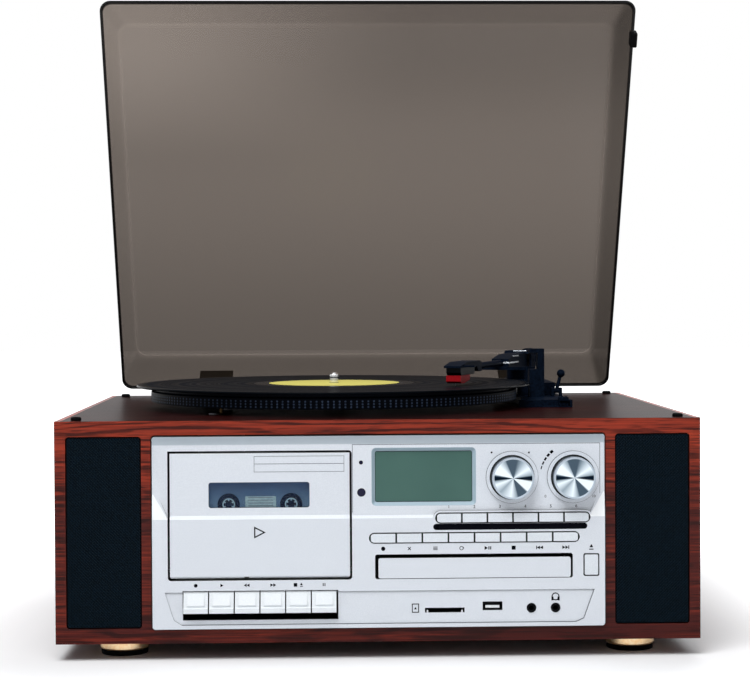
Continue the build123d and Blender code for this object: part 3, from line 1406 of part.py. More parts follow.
ear_gap, ear_width = 0.3, 4
leaf_low = knuckle_r + 0.8
arm_solids = []
for side in (-1, 1):
    with BuildPart() as hinge_arm:
        leaf_origin = lid_plane.from_local_coords((side * hinge_x, 0, 0))
        leaf_section = Plane(origin=leaf_origin, x_dir=lid_plane.y_dir, z_dir=(1, 0, 0))
        wall_low = -lid_rear_gap - slope(lid_rear_slope, leaf_low - lid_rim)
        wall_high = -lid_rear_gap - slope(lid_rear_slope, leaf_low + leaf_height - lid_rim)
        with BuildSketch(leaf_section):
            Polygon(
                (wall_low, leaf_low),
                (wall_low + leaf_thickness, leaf_low),
                (wall_high + leaf_thickness, leaf_low + leaf_height),
                (wall_high, leaf_low + leaf_height),
            )
        extrude(amount=hinge_width / 2, both=True)
        for ear_side in (-1, 1):
            ear_centre = ear_side * (knuckle_width / 2 + ear_gap + ear_width / 2)
            with BuildSketch(leaf_section.offset(ear_centre)):
                Circle(knuckle_r)
                Polygon(
                    (wall_low + 0.3, leaf_low + 4),
                    (wall_low + leaf_thickness, leaf_low + 4),
                    (knuckle_r, 0),
                    (-knuckle_r, 0),
                    (wall_low + 0.3, leaf_low - 0.5),
                )
            extrude(amount=ear_width / 2, both=True)
        with BuildSketch(leaf_section):
            Circle(hinge_pin_r)
        extrude(amount=knuckle_width / 2 + ear_gap + ear_width, both=True)
    arm_solids.append(hinge_arm.part)
save("hinge_arms", Compound(children=arm_solids))

# ======== Rubber stops the lid closes onto
with BuildPart() as lid_bumpers:
    with BuildSketch(deck(0)):
        for bump_y in (bumper_front_y, bumper_back_y):
            with Locations((-bumper_x, bump_y), (bumper_x, bump_y)):
                Circle(bumper_r)
    extrude(amount=bumper_height)
    fillet(lid_bumpers.faces().filter_by(Plane.XY).group_by(Axis.Z)[-1].edges(), 1.2)
save("lid_bumpers", lid_bumpers.part)
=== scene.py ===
import bmesh
import bpy
from math import atan2, cos, pi, radians, sin
from mathutils import Matrix, Vector


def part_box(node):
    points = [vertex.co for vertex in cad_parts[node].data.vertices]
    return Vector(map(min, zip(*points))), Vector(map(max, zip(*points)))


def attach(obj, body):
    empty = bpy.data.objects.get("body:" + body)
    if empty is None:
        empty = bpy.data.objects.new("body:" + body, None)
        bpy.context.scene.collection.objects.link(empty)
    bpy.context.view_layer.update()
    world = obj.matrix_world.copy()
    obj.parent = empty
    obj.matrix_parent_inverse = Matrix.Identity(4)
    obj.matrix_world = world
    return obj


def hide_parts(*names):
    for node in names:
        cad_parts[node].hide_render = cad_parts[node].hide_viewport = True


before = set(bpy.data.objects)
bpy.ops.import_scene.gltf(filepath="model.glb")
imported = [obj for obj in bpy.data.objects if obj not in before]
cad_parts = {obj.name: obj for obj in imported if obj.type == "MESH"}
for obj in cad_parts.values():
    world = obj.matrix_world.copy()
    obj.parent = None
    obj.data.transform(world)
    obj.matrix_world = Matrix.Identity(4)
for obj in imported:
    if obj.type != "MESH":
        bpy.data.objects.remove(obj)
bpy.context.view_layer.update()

# ======== Camera
# It stands a little left of the middle and just above the deck, about 1.2 m in front, with a long
# lens of about 88 mm.
mm = 0.001
eye = Vector((-37.387, -1417.206, 243.031)) * mm
yaw, pitch, roll = 0.0283, -0.0207, -0.0050
picture_width, focal_pixels, sensor = 750, 1831.1, 36
ahead = Vector((sin(yaw) * cos(pitch), cos(yaw) * cos(pitch), sin(pitch)))
level = Vector((cos(yaw), -sin(yaw), 0))
over = level.cross(ahead)
right = level * cos(roll) + over * sin(roll)
top = over * cos(roll) - level * sin(roll)
camera = bpy.data.objects.new("camera", bpy.data.cameras.new("camera"))
camera.data.sensor_width = sensor
camera.data.lens = focal_pixels / picture_width * sensor
camera.matrix_world = Matrix.Translation(eye) @ Matrix((right, top, -ahead)).transposed().to_4x4()
bpy.context.scene.collection.objects.link(camera)
bpy.context.scene.camera = camera
bpy.context.scene.view_settings.view_transform = "Standard"


# ======== Studio
# A white floor and three large soft lamps, at the front left, the front right and behind. The floor
# keeps a faint shadow under the case.
class Shade:
    """One output of a material's nodes. Sums and products of shades add the Math nodes they need."""

    def __init__(self, tree, socket=None):
        self.tree, self.socket = tree, socket

    def node(self, kind, settings=(), values=(), out=0):
        """Adds a node of any kind: its settings first, then the values or links of its sockets."""
        made = self.tree.nodes.new("ShaderNode" + kind)
        for key, value in dict(settings).items():
            if key == "stops":
                stops = made.color_ramp.elements
                stops[0].position, stops[0].color = value[0]
                stops[1].position, stops[1].color = value[-1]
                for position, colour in value[1:-1]:
                    stops.new(position).color = colour
            else:
                setattr(made, key, value)
        for key, value in dict(values).items():
            if isinstance(value, Shade):
                self.tree.links.new(value.socket, made.inputs[key])
            else:
                made.inputs[key].default_value = value
        return Shade(self.tree, made.outputs[out])

    def maths(self, operation, *others):
        return self.node("Math", {"operation": operation}, enumerate((self, *others)))

    def vector(self, operation, other=(0, 0, 0), out=0):
        return self.node("VectorMath", {"operation": operation}, {0: self, 1: other}, out)

    def above_zero(self):
        """Length of the part of a vector that is above zero on each axis."""
        return self.vector("MAXIMUM").vector("LENGTH", out=1)

    def along(self, axis):
        """The part of a place or a normal along X (0), Y (1) or Z (2)."""
        return self.node("SeparateXYZ", {}, {0: self}, out=axis)

    def __add__(self, other):
        return self.maths("ADD", other)

    __radd__ = __add__

    def __sub__(self, other):
        return self.maths("SUBTRACT", other)

    def __rsub__(self, other):
        return self.node("Math", {"operation": "SUBTRACT"}, {0: other, 1: self})

    def __mul__(self, other):
        return self.maths("MULTIPLY", other)

    __rmul__ = __mul__

    def __abs__(self):
        return self.maths("ABSOLUTE")

    def between(self, low, high):
        """0 below low, 1 above high, and a smooth rise from one to the other."""
        span = {"From Min": low, "From Max": high, "Value": self}
        return self.node("MapRange", {"interpolation_type": "SMOOTHSTEP"}, span)

    def blend(self, first, second):
        """The first colour where this shade is 0 and the second where it is 1."""
        return self.node("Mix", {"data_type": "RGBA"}, {0: self, 6: first, 7: second}, out=2)


def tint(red, green, blue):
    """A colour given as 0 to 255 values on a screen, as the shader wants it."""
    parts = (red, green, blue)
    return tuple(((c / 255 + 0.055) / 1.055) ** 2.4 if c > 10 else c / 3295 for c in parts) + (1,)


def select(piece):
    """Makes this piece the only one selected."""
    bpy.ops.object.select_all(action="DESELECT")
    piece.select_set(True)
    bpy.context.view_layer.objects.active = piece


white = (1, 1, 1, 1)
floor_size, footprint, ambient = 16, (0.205, 0.16, 0), 0.13
bpy.ops.object.select_all(action="DESELECT")
bpy.ops.mesh.primitive_plane_add(size=floor_size)
floor = bpy.context.object
floor.name = "studio_floor"


def by_eye(tree):
    """1 for rays that show the background: straight, mirrored or through something clear."""
    sight = Shade(tree).node("LightPath").socket.node.outputs
    direct, mirrored, through = (
        Shade(tree, sight[f"Is {kind} Ray"]) for kind in ("Camera", "Glossy", "Transmission")
    )
    return (direct + mirrored + through).maths("MINIMUM", 1)


paper = bpy.data.materials.new("studio_paper")
paper.use_nodes = True
matt = paper.node_tree.nodes["Principled BSDF"]
matt.inputs["Base Color"].default_value = (0.82, 0.825, 0.84, 1)
matt.inputs["Roughness"].default_value = 0.9
beyond = Shade(paper.node_tree).node("TexCoord", out=3).vector("ABSOLUTE")
beyond = beyond.vector("SUBTRACT", footprint).above_zero()
glow = by_eye(paper.node_tree) * (beyond.between(0, 0.3) * 0.93 + beyond.between(0, 0.03) * 0.05)
matt.inputs["Emission Color"].default_value = white
paper.node_tree.links.new(glow.socket, matt.inputs["Emission Strength"])
floor.data.materials.append(paper)

world = bpy.data.worlds.new("studio")
bpy.context.scene.world = world
world.use_nodes = True
backdrop = world.node_tree.nodes["Background"]
backdrop.inputs["Color"].default_value = white
strength = by_eye(world.node_tree) * (1 - ambient) + ambient
world.node_tree.links.new(strength.socket, backdrop.inputs["Strength"])

lamps = {
    "key_lamp": ((-0.6, -1.5, 2.5), 1.7, 84),
    "fill_lamp": ((1.2, -2.2, 1.5), 1.3, 7),
    "rear_lamp": ((0.9, 2.2, 1.9), 1.4, 26),
}
aim = Vector((0, 0, 0.15))
for name, (place, size, power) in lamps.items():
    lamp = bpy.data.lights.new(name, "AREA")
    lamp.size, lamp.energy = size, power
    holder = bpy.data.objects.new(name, lamp)
    holder.location = place
    holder.rotation_euler = (aim - Vector(place)).to_track_quat("-Z", "Y").to_euler()
    bpy.context.scene.collection.objects.link(holder)


# ======== Cabinet boards
# Fibreboard covered in a polished red-brown veneer. The grain runs along the front and the top, and
# from front to back on the sides. The boards are sawn square with a slight ease on each edge.
def finish(name, colour, roughness=0.5, metallic=0.0, gloss=0.5, coat=0.0, alpha=1.0, bend=1.5):
    """A new material, with its shader and a shade of the place on the object. bend is its IOR."""
    material = bpy.data.materials.new(name)
    material.use_nodes = True
    shader = material.node_tree.nodes["Principled BSDF"]
    plain = {"Base Color": colour, "Roughness": roughness, "Metallic": metallic, "Alpha": alpha}
    plain.update({"Specular IOR Level": gloss, "IOR": bend, "Coat Weight": coat, "Coat Roughness": 0.1})
    for socket, value in plain.items():
        shader.inputs[socket].default_value = value
    return material, shader, Shade(material.node_tree).node("TexCoord", out=3)


def lay(shader, socket, shade):
    """Links a shade that changes over the surface to one of the shader's sockets."""
    shade.tree.links.new(shade.socket, shader.inputs[socket])


def speckle(place, scale, detail=2, stretch=(1, 1, 1), rough=0.5):
    """Noise from 0 to 1 over the object, so many grains to the metre, drawn out by stretch."""
    drawn = place.node("Mapping", {}, {"Vector": place, "Scale": stretch})
    values = {"Vector": drawn, "Scale": scale, "Detail": detail, "Roughness": rough}
    return place.node("TexNoise", {}, values)


def relief(shader, height, depth):
    """Presses a height of 0 to 1 into the surface, so many metres deep."""
    lay(shader, "Normal", height.node("Bump", {}, {"Height": height, "Distance": depth, "Strength": 1}))


def dress(piece, material):
    """Gives a piece one material all over."""
    if piece.material_slots:
        for row in piece.material_slots:
            row.material = material
    else:
        piece.data.materials.append(material)


def settle(piece, name, body, slot, material, *nodes):
    """Names a finished piece, puts its place in its mesh and joins it to its body."""
    piece.name = piece.data.name = name
    select(piece)
    bpy.ops.object.transform_apply(location=True, rotation=True, scale=True)
    dress(piece, material)
    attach(piece, body)
    if nodes:
        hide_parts(*nodes)


def eased(node, width, body, slot, material, segments=2, sharp=32):
    """A copy of a node's shape with its sharp edges rounded, in place of the node."""
    piece = bpy.data.objects.new(node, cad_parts[node].data.copy())
    bpy.context.scene.collection.objects.link(piece)
    select(piece)
    bpy.ops.mesh.customdata_custom_splitnormals_clear()
    bpy.ops.object.mode_set(mode="EDIT")
    bpy.ops.mesh.select_all(action="SELECT")
    bpy.ops.mesh.remove_doubles(threshold=0.002 * mm)
    bpy.ops.mesh.dissolve_limited(angle_limit=radians(0.5))
    bpy.ops.object.mode_set(mode="OBJECT")
    bpy.ops.object.shade_smooth_by_angle(angle=radians(sharp))
    rounding = piece.modifiers.new("rounding", "BEVEL")
    rounding.width, rounding.segments, rounding.harden_normals = width * mm, segments, True
    rounding.limit_method, rounding.angle_limit = "ANGLE", radians(sharp)
    bpy.ops.object.modifier_apply(modifier="rounding")
    settle(piece, node + "_finished", body, slot, material, node)


def veneer(name, along, light, dark, gloss):
    """Veneer between two tones, with its grain along X (0) or Y (1).

    The veneer is painted lighter high up and darker low down, as shade from the lamps above.
    The edges inside the front's openings are painted nearly black, as the shade in the gaps, and the
    seams beside the deck are nearly black.
    """
    material, shader, place = finish(name, light, 0.3, gloss=gloss)

    def drawn(length, width):
        return tuple(length if axis == along else width for axis in range(3))

    figure = speckle(place, 1, 2, drawn(1.4, 12))
    wander = speckle(place, 1, 3, drawn(26, 160))
    lines = (figure * 190 + wander * 7).maths("SINE")
    streak = speckle(place, 1, 3, drawn(11, 480), 0.65)
    fibre = speckle(place, 1, 3, drawn(30, 1100), 0.7)
    patch = speckle(place, 1, 2, drawn(2.2, 42))
    x, y, z = (place.along(axis) for axis in range(3))
    # The height term paints the veneer lighter high up and darker low down, as shade.
    tone_and_height_shade = patch * 0.7 + streak * 0.9 + fibre * 0.3 + z.between(0.08, 0.16) * 0.38 - 0.76
    shaded_wood = tone_and_height_shade.between(0.05, 0.9).blend(dark, light)
    black = tuple(part * 0.25 for part in dark[:3]) + (1,)
    ripple = lines.between(0.1, 0.95) * streak.between(0.72, 0.4)
    ripple = ripple.maths("MAXIMUM", streak.between(0.4, 0.3))
    lined = (ripple * 0.8).blend(shaded_wood, black)
    pores = speckle(place, 1, 1, drawn(50, 1300)).between(0.58, 0.66)
    # The edges inside the front's openings are painted nearly black, as the shade in the gaps.
    opening = abs(x).between(213 * mm, 212 * mm) * abs(z - 88 * mm).between(66 * mm, 65 * mm)
    opening_shade = opening * abs(y).between(173.4 * mm, 173.2 * mm)
    seam = abs(x).between(215.0 * mm, 215.2 * mm) * abs(x).between(215.9 * mm, 215.7 * mm)
    opening_shade_and_seam = opening_shade.maths("MAXIMUM", seam * z.between(163.2 * mm, 163.4 * mm))
    lay(shader, "Base Color", (pores * 0.5).maths("MAXIMUM", opening_shade_and_seam).blend(lined, black))
    lay(shader, "Roughness", 0.24 + fibre * 0.14)
    relief(shader, fibre - pores * 0.6, 0.02 * mm)
    return material


red, brown, sawn_edge = tint(166, 60, 38), tint(64, 19, 16), 0.35
front_veneer = veneer("front_veneer", 0, red, brown, 0.12)
side_veneer = veneer("side_veneer", 1, red, brown, 0.12)
top_veneer = veneer("top_veneer", 0, tint(42, 14, 13), tint(18, 7, 8), 0.008)
eased("top_board", sawn_edge, "case", "cabinet_wood", top_veneer)
eased("cabinet_shell", sawn_edge, "case", "cabinet_wood", side_veneer)
eased("front_board", sawn_edge, "case", "cabinet_wood", front_veneer)

# ======== Rear board
# Thin hardboard with a painted smooth side. Screws hold it on from behind, so that it comes off for
# servicing.
hardboard, shader, place = finish("painted_hardboard", tint(38, 34, 32), 0.75)
fleck = speckle(place, 900, 3)
lay(shader, "Base Color", fleck.blend(tint(30, 26, 25), tint(58, 50, 46)))
relief(shader, fleck, 0.08 * mm)
eased("rear_board", 0.3, "case", "back_panel", hardboard)


# ======== Feet
# Turned rings with a brass-coloured finish, fixed to the underside near the four corners. A rubber
# pad under each ring keeps the case from sliding.
def mottled(name, colour, other, roughness, scale, depth, metallic=0.0, gloss=0.5, coat=0.0, bend=1.5):
    """A moulded or cast finish: fine grain that shifts its colour, gloss and surface a little."""
    material, shader, place = finish(name, colour, roughness, metallic, gloss, coat, bend=bend)
    grain = speckle(place, scale, 3)
    lay(shader, "Base Color", grain.between(0.3, 0.7).blend(colour, other))
    lay(shader, "Roughness", roughness * 0.85 + grain * (roughness * 0.3))
    if depth:
        relief(shader, grain, depth * mm)
    return material


brass = mottled("brushed_brass", tint(250, 208, 154), tint(255, 228, 186), 0.3, 500, 0.01, 1.0)
rubber = mottled("black_rubber", tint(7, 7, 8), tint(14, 14, 16), 0.8, 700, 0.05, gloss=0.04)
eased("foot_rings", 0.5, "case", "foot_brass", brass, 3)
eased("foot_pads", 0.5, "case", "foot_rubber", rubber)

# ======== Speakers
# Small drivers behind perforated steel grilles with a turned edge and rounded corners. Black cloth
# behind each grille hides the driver.
cone_black = mottled("driver_black", tint(14, 15, 17), tint(24, 25, 28), 0.6, 600, 0.05, gloss=0.15)
dress(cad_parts["speaker_drivers"], cone_black)
grille_width, grille_height, grille_x, grille_z = 50.4, 129.8, 187.0, 87.6
hole_pitch, hole_wire, holes_across, mesh_edge, mesh_thick = 1.5, 0.3, 86, 0.6, 0.5
mesh_y, cloth_y, frame_corner, frame_depth, frame_lip, cloth_set = -172.6, -170.6, 2, 1.6, 1.0, 1.4
grille_paint = mottled("grille_paint", tint(4, 14, 21), tint(11, 25, 35), 0.45, 400, 0.0, gloss=0.04)


def on_front(x, z, y):
    """A point on the front, given in millimetres."""
    return (x * mm, y * mm, z * mm)


def push(value):
    """Extrudes the selected faces by a distance along each axis."""
    bpy.ops.mesh.extrude_region_move(TRANSFORM_OT_translate={"value": value})


def trim(low, high, axis):
    """Cuts the piece in edit mode off below low and above high along one axis."""
    for limit, way in ((low, -1), (high, 1)):
        normal, spot = [0, 0, 0], [0, 0, 0]
        normal[axis], spot[axis] = way, limit
        bpy.ops.mesh.select_all(action="SELECT")
        bpy.ops.mesh.bisect(plane_co=spot, plane_no=normal, clear_outer=True)


sides = {"left": -1, "right": 1}
for side_name, side in sides.items():
    bpy.ops.object.select_all(action="DESELECT")
    middle = on_front(side * grille_x, grille_z, mesh_y)
    bpy.ops.mesh.primitive_grid_add(
        x_subdivisions=holes_across,
        y_subdivisions=holes_across,
        size=holes_across * hole_pitch * mm,
        location=middle,
        rotation=(pi / 2, 0, 0),
    )
    mesh_sheet = bpy.context.object
    bpy.ops.object.transform_apply(location=False, rotation=True, scale=True)
    mesh_sheet.rotation_euler = (0, pi / 4, 0)
    bpy.ops.object.transform_apply(location=True, rotation=True, scale=True)
    bpy.ops.object.mode_set(mode="EDIT")
    bpy.ops.mesh.select_all(action="SELECT")
    bpy.ops.mesh.inset(use_individual=True, thickness=hole_wire * mm)
    bpy.ops.mesh.delete(type="FACE")
    half_width = (grille_width / 2 - mesh_edge) * mm
    half_height = (grille_height / 2 - mesh_edge) * mm
    trim(middle[0] - half_width, middle[0] + half_width, 0)
    trim(middle[2] - half_height, middle[2] + half_height, 2)
    bpy.ops.object.mode_set(mode="OBJECT")
    depth = mesh_sheet.modifiers.new("depth", "SOLIDIFY")
    depth.thickness, depth.offset = mesh_thick * mm, 0
    bpy.ops.object.modifier_apply(modifier="depth")
    settle(mesh_sheet, f"grille_mesh_{side_name}", "case", "grille_mesh", grille_paint)

cloth, shader, place = finish("speaker_cloth", tint(8, 10, 13), 0.9, gloss=0.02)
weave = speckle(place, 1400, 1)
lay(shader, "Base Color", weave.blend(tint(6, 7, 9), tint(16, 19, 23)))
relief(shader, weave, 0.1 * mm)
for side_name, side in sides.items():
    bpy.ops.object.select_all(action="DESELECT")
    spot = on_front(side * grille_x, grille_z, cloth_y)
    bpy.ops.mesh.primitive_plane_add(size=1, location=spot, rotation=(pi / 2, 0, 0))
    cloth_frame = bpy.context.object
    cloth_frame.scale = (grille_width * mm, grille_height * mm, 1)
    bpy.ops.object.transform_apply(location=True, rotation=True, scale=True)
    bpy.ops.object.mode_set(mode="EDIT")
    bpy.ops.mesh.select_all(action="SELECT")
    bpy.ops.mesh.bevel(offset=frame_corner * mm, segments=5, affect="VERTICES")
    push((0, -frame_depth * mm, 0))
    bpy.ops.mesh.inset(thickness=frame_lip * mm)
    push((0, cloth_set * mm, 0))
    bpy.ops.mesh.select_all(action="SELECT")
    bpy.ops.mesh.normals_make_consistent(inside=False)
    bpy.ops.object.mode_set(mode="OBJECT")
    replaced = ("speaker_grilles",) if side_name == "left" else ()
    settle(cloth_frame, f"grille_cloth_{side_name}", "case", "grille_mesh", cloth, *replaced)

# ======== Fascia
# One plastic moulding, sprayed silver-white from the front, with its marks printed in dark ink. Its
# side walls and the wells that the buttons sit in are painted black, as the shade in the gaps. Pale
# grey lines along its step edges and round the knob rings are painted shade, its top lip is painted
# darker as shade, and the facets at the ends of its step lighter as a highlight.
under_case, lip_up, bezel_x, bezel_up = 12, 135, 30.5, 112.55
bezel_reach, bezel_corner = (35.6, 19.8), 3.2
facet_across, facet_down, facet_at, facet_half = 13.5, 8, 1159.6, 3
silver, shader, place = finish("silver_paint", tint(222, 227, 234), 0.42, gloss=0.3)
flake = speckle(place, 2600, 3)
paint = flake.between(0.3, 0.7).blend(tint(206, 212, 220), tint(220, 225, 232))


def wall_shade(place):
    """1 on walls that don't face the front, which are painted black as the shade in the gaps."""
    return abs(place.node("TexCoord", out=1).along(1)).between(0.72, 0.5)


place_x, place_y, place_z = (place.along(axis) for axis in range(3))
# Black painted into the gaps and recesses, as their shade.
gap_shade_black = tint(3, 4, 6)
# The top lip is painted darker grey, as the shade on its downward slope.
lip_shade = place_z.between((under_case + lip_up - 0.4) * mm, (under_case + lip_up + 0.4) * mm)
# The small facets at both ends of the step are painted near white, as a highlight.
facet_highlight = (abs(place_x) * facet_across - place_z * facet_down).between(
    (facet_at - facet_half) * mm, (facet_at + facet_half) * mm
)
facet_highlight = facet_highlight * place_z.between(96.4 * mm, 96.9 * mm) * place_z.between(114 * mm, 113 * mm)
bezel = place.node("CombineXYZ", {}, {
    0: abs(place_x - bezel_x * mm) - (bezel_reach[0] - bezel_corner) * mm,
    1: abs(place_z - (under_case + bezel_up) * mm) - (bezel_reach[1] - bezel_corner) * mm,
})
bezel = bezel.above_zero().between((bezel_corner + 0.1) * mm, (bezel_corner - 0.1) * mm)
paint = lip_shade.blend(paint, tint(176, 187, 196))
paint = facet_highlight.blend(paint, tint(244, 248, 251))
paint = bezel.blend(paint, tint(158, 178, 190))
# Faces sunk behind the front are painted black as shade, except the display's frame.
recess_shade = place_y.between(-174.3 * mm, -173.9 * mm) * (1 - bezel)
lay(shader, "Base Color", recess_shade.maths("MAXIMUM", wall_shade(place)).blend(paint, gap_shade_black))
lay(shader, "Roughness", 0.38 + flake * 0.1)
eased("front_fascia", 0.12, "case", "silver_plastic", silver)
ink = mottled("printing_ink", tint(2, 3, 8), tint(8, 10, 16), 0.6, 900, 0.0, gloss=0.02)
# Pale grey for the printed door label and cassette scale, and for painted shade lines on the fascia.
pale_ink_and_edge_shade = mottled("pale_ink_and_shade_lines", tint(84, 92, 102), tint(104, 112, 122), 0.5, 900, 0.0)
upper_face, lower_face, panel_face, strip_face, ink_proud = -174.5, -176.5, -174.9, -175.7, 0.04
marks = []


def mark(shape, x, height, face, width, tall=None, turn=0.0, lines=0.0):
    """A flat printed shape with so many sides on a face of the front, or its outline in lines."""
    tall = tall or width
    bpy.ops.object.select_all(action="DESELECT")
    spot = on_front(x, under_case + height, face - ink_proud)
    if shape == 4:
        bpy.ops.mesh.primitive_plane_add(size=1, location=spot, rotation=(pi / 2, 0, 0))
    else:
        bpy.ops.mesh.primitive_circle_add(
            vertices=shape, radius=0.5, fill_type="NGON", location=spot, rotation=(pi / 2, 0, 0)
        )
    made = bpy.context.object
    bpy.ops.object.transform_apply(location=False, rotation=True, scale=True)
    made.scale = (width * mm, 1, tall * mm)
    bpy.ops.object.transform_apply(location=False, rotation=False, scale=True)
    made.rotation_euler = (0, turn, 0)
    bpy.ops.object.transform_apply(location=True, rotation=True, scale=True)
    if lines:
        bpy.ops.object.mode_set(mode="EDIT")
        bpy.ops.mesh.select_all(action="SELECT")
        bpy.ops.mesh.inset(thickness=lines * mm)
        bpy.ops.mesh.delete(type="FACE")
        bpy.ops.object.mode_set(mode="OBJECT")
    marks.append(made)


def numeral(text, x, height, face, size):
    """A plain printed numeral."""
    bpy.ops.object.select_all(action="DESELECT")
    spot = on_front(x, under_case + height, face - ink_proud)
    bpy.ops.object.text_add(location=spot, rotation=(pi / 2, 0, 0))
    made = bpy.context.object
    made.data.body, made.data.size = text, size * mm
    made.data.align_x, made.data.align_y = "CENTER", "CENTER"
    bpy.ops.object.convert(target="MESH")
    made = bpy.context.object
    bpy.ops.object.transform_apply(location=True, rotation=True, scale=True)
    marks.append(made)


def press(name, body, slot, material, thickness=0.08):
    """Joins the marks made so far into one piece, and gives flat ones a thickness of ink."""
    bpy.ops.object.select_all(action="DESELECT")
    for made in marks:
        made.select_set(True)
    bpy.context.view_layer.objects.active = marks[0]
    bpy.ops.object.join()
    made = bpy.context.object
    bpy.ops.object.mode_set(mode="EDIT")
    bpy.ops.mesh.select_all(action="SELECT")
    bpy.ops.mesh.remove_doubles(threshold=0.001 * mm)
    bpy.ops.mesh.normals_make_consistent(inside=False)
    bpy.ops.object.mode_set(mode="OBJECT")
    if thickness:
        ink_depth = made.modifiers.new("ink_depth", "SOLIDIFY")
        ink_depth.thickness, ink_depth.offset = thickness * mm, 0
        bpy.ops.object.modifier_apply(modifier="ink_depth")
    marks.clear()
    settle(made, name, body, slot, material)


def arrow(x, height, face, size, turn):
    """A filled triangle that points right at turn 0, left at pi and up at -pi / 2."""
    mark(3, x, height, face, size, size, turn + pi / 2)


well_x, well_up, well_long, well_tall = 89.3, 78.3, 101, 4.2
mark(4, well_x, well_up, lower_face, well_long, well_tall)
for end in (-1, 1):
    mark(24, well_x + end * well_long / 2, well_up, lower_face, well_tall)
icon_up, first_icon, icon_step = 63.7, 2.6, 17.78
power, mute, lists, repeat, play_pause, stop, back, skip = (
    first_icon + number * icon_step for number in range(8)
)
mark(20, power, icon_up, lower_face, 2.9)
for turn in (pi / 4, -pi / 4):
    mark(4, mute, icon_up, lower_face, 2.8, 0.5, turn)
for row in (-1, 0, 1):
    mark(4, lists, icon_up + 0.9 * row, lower_face, 3, 0.4)
mark(24, repeat, icon_up, lower_face, 2.8, lines=0.4)
arrow(repeat + 1.2, icon_up + 0.3, lower_face, 1.4, -pi / 2)
arrow(play_pause - 1.3, icon_up, lower_face, 3.0, 0)
for bar_x in (0.9, 2.1):
    mark(4, play_pause + bar_x, icon_up, lower_face, 0.7, 2.2)
mark(4, stop, icon_up, lower_face, 2.7)
for icon_x, way, turn in ((back, -1, pi), (skip, 1, 0)):
    arrow(icon_x - way * 1.6, icon_up, lower_face, 2.7, turn)
    arrow(icon_x + way * 0.5, icon_up, lower_face, 2.7, turn)
    mark(4, icon_x + way * 2.1, icon_up, lower_face, 0.6, 2.3)
first_numeral, numeral_step, numeral_up = 47.5, 17.42, 91.7
for number in range(6):
    numeral(str(number + 1), first_numeral + number * numeral_step, numeral_up, panel_face, 3.0)
for dot_x, dot_up in ((76.8, 128.6), (102.3, 128.4)):
    mark(16, dot_x, dot_up, panel_face, 1.3)
tuning_x, volume_x, knob_up, scale_r, first_bar, bar_step = 90.7, 132.5, 111.6, 22.6, 130.5, 8.2
for number, size in enumerate((2.5, 2.1, 1.7, 1.3, 0.9)):
    angle = radians(first_bar + bar_step * number)
    bar_x, bar_up = volume_x + scale_r * cos(angle), knob_up + scale_r * sin(angle)
    mark(4, bar_x, bar_up, panel_face, 2.3, size * 0.75, pi / 2 - angle)
numeral("0", 113.5, 98.4, panel_face, 2.6)
numeral("10", 146.6, 98.2, panel_face, 2.6)
eject_x, eject_up = 144.6, 64.3
arrow(eject_x, eject_up, lower_face, 3, -pi / 2)
mark(4, eject_x, eject_up - 2.1, lower_face, 3, 0.6)
card_x, card_up = 24.4, 22.9
mark(4, card_x, card_up, strip_face, 4.9, 6.2, lines=0.6)
mark(3, card_x, card_up - 0.3, strip_face, 2.2)
phones_x, phones_up = 120.1, 30.0
mark(24, phones_x, phones_up, strip_face, 5.4, 5.4, lines=0.7)
for ear in (-1, 1):
    mark(4, phones_x + 2.1 * ear, phones_up - 1.4, strip_face, 1.4, 2.6)
press("fascia_marks", "case", "silver_plastic", ink)


def outline(corners, face, width):
    """Thin bars from each corner, given as X and height, to the next, painted as the shade of an edge."""
    for (x, height), (next_x, next_height) in zip(corners, corners[1:]):
        length = ((next_x - x) ** 2 + (next_height - height) ** 2) ** 0.5
        slope = atan2(next_height - height, next_x - x)
        mark(4, (x + next_x) / 2, (height + next_height) / 2, face, length + width, width, -slope)


# Pale bars along the raised panel's and the sunk strip's edges, and rings round the knobs, are painted shade.
panel_corners = ((-18, 88.6), (-18, 134.6), (150.8, 134.6), (150.8, 100), (143.8, 88.6))
strip_corners = ((-145.2, 34.8), (146.4, 34.8), (139.3, 15.2), (134, 12.9), (-134, 12.9))
for knob_x in (tuning_x, volume_x):
    mark(96, knob_x, knob_up, panel_face, 35.9, lines=0.45)
outline(panel_corners, upper_face, 0.35)
outline(strip_corners, strip_face, 0.3)
press("fascia_shade_lines", "case", "silver_plastic", pale_ink_and_edge_shade)

# ======== Display
# A clear lens in a pale chamfered frame, with the liquid crystal glass behind it. Two small dark
# lenses beside it cover the infrared receiver and the indicator lamp.
lens_clear, shader, place = finish("display_lens_plastic", tint(60, 84, 84), 0.16, gloss=0.15)
glass_x, glass_z = 32.6, 16.7
aside = abs(place.along(0) - bezel_x * mm).between(glass_x * mm, (glass_x + 0.5) * mm)
above = abs(place.along(2) - (under_case + bezel_up) * mm).between(glass_z * mm, (glass_z + 0.5) * mm)
liquid = speckle(place, 30, 2).blend(tint(56, 90, 84), tint(70, 104, 96))
framed = aside.maths("MAXIMUM", above).blend(liquid, tint(14, 26, 34))
small_lens = place.along(0).between(-8.8 * mm, -9.2 * mm)
lay(shader, "Base Color", small_lens.blend(framed, tint(7, 8, 44)))
eased("display_lens", 0.15, "case", "display_window", lens_clear)

# ======== Piano keys of the tape deck
# Six moulded levers on one shaft, sprayed like the fascia, each with a raised pad for the finger.
# Their side walls are painted black, as the shade between the keys.
key_names = ("record", "play", "rewind", "fast_forward", "stop_eject", "pause")


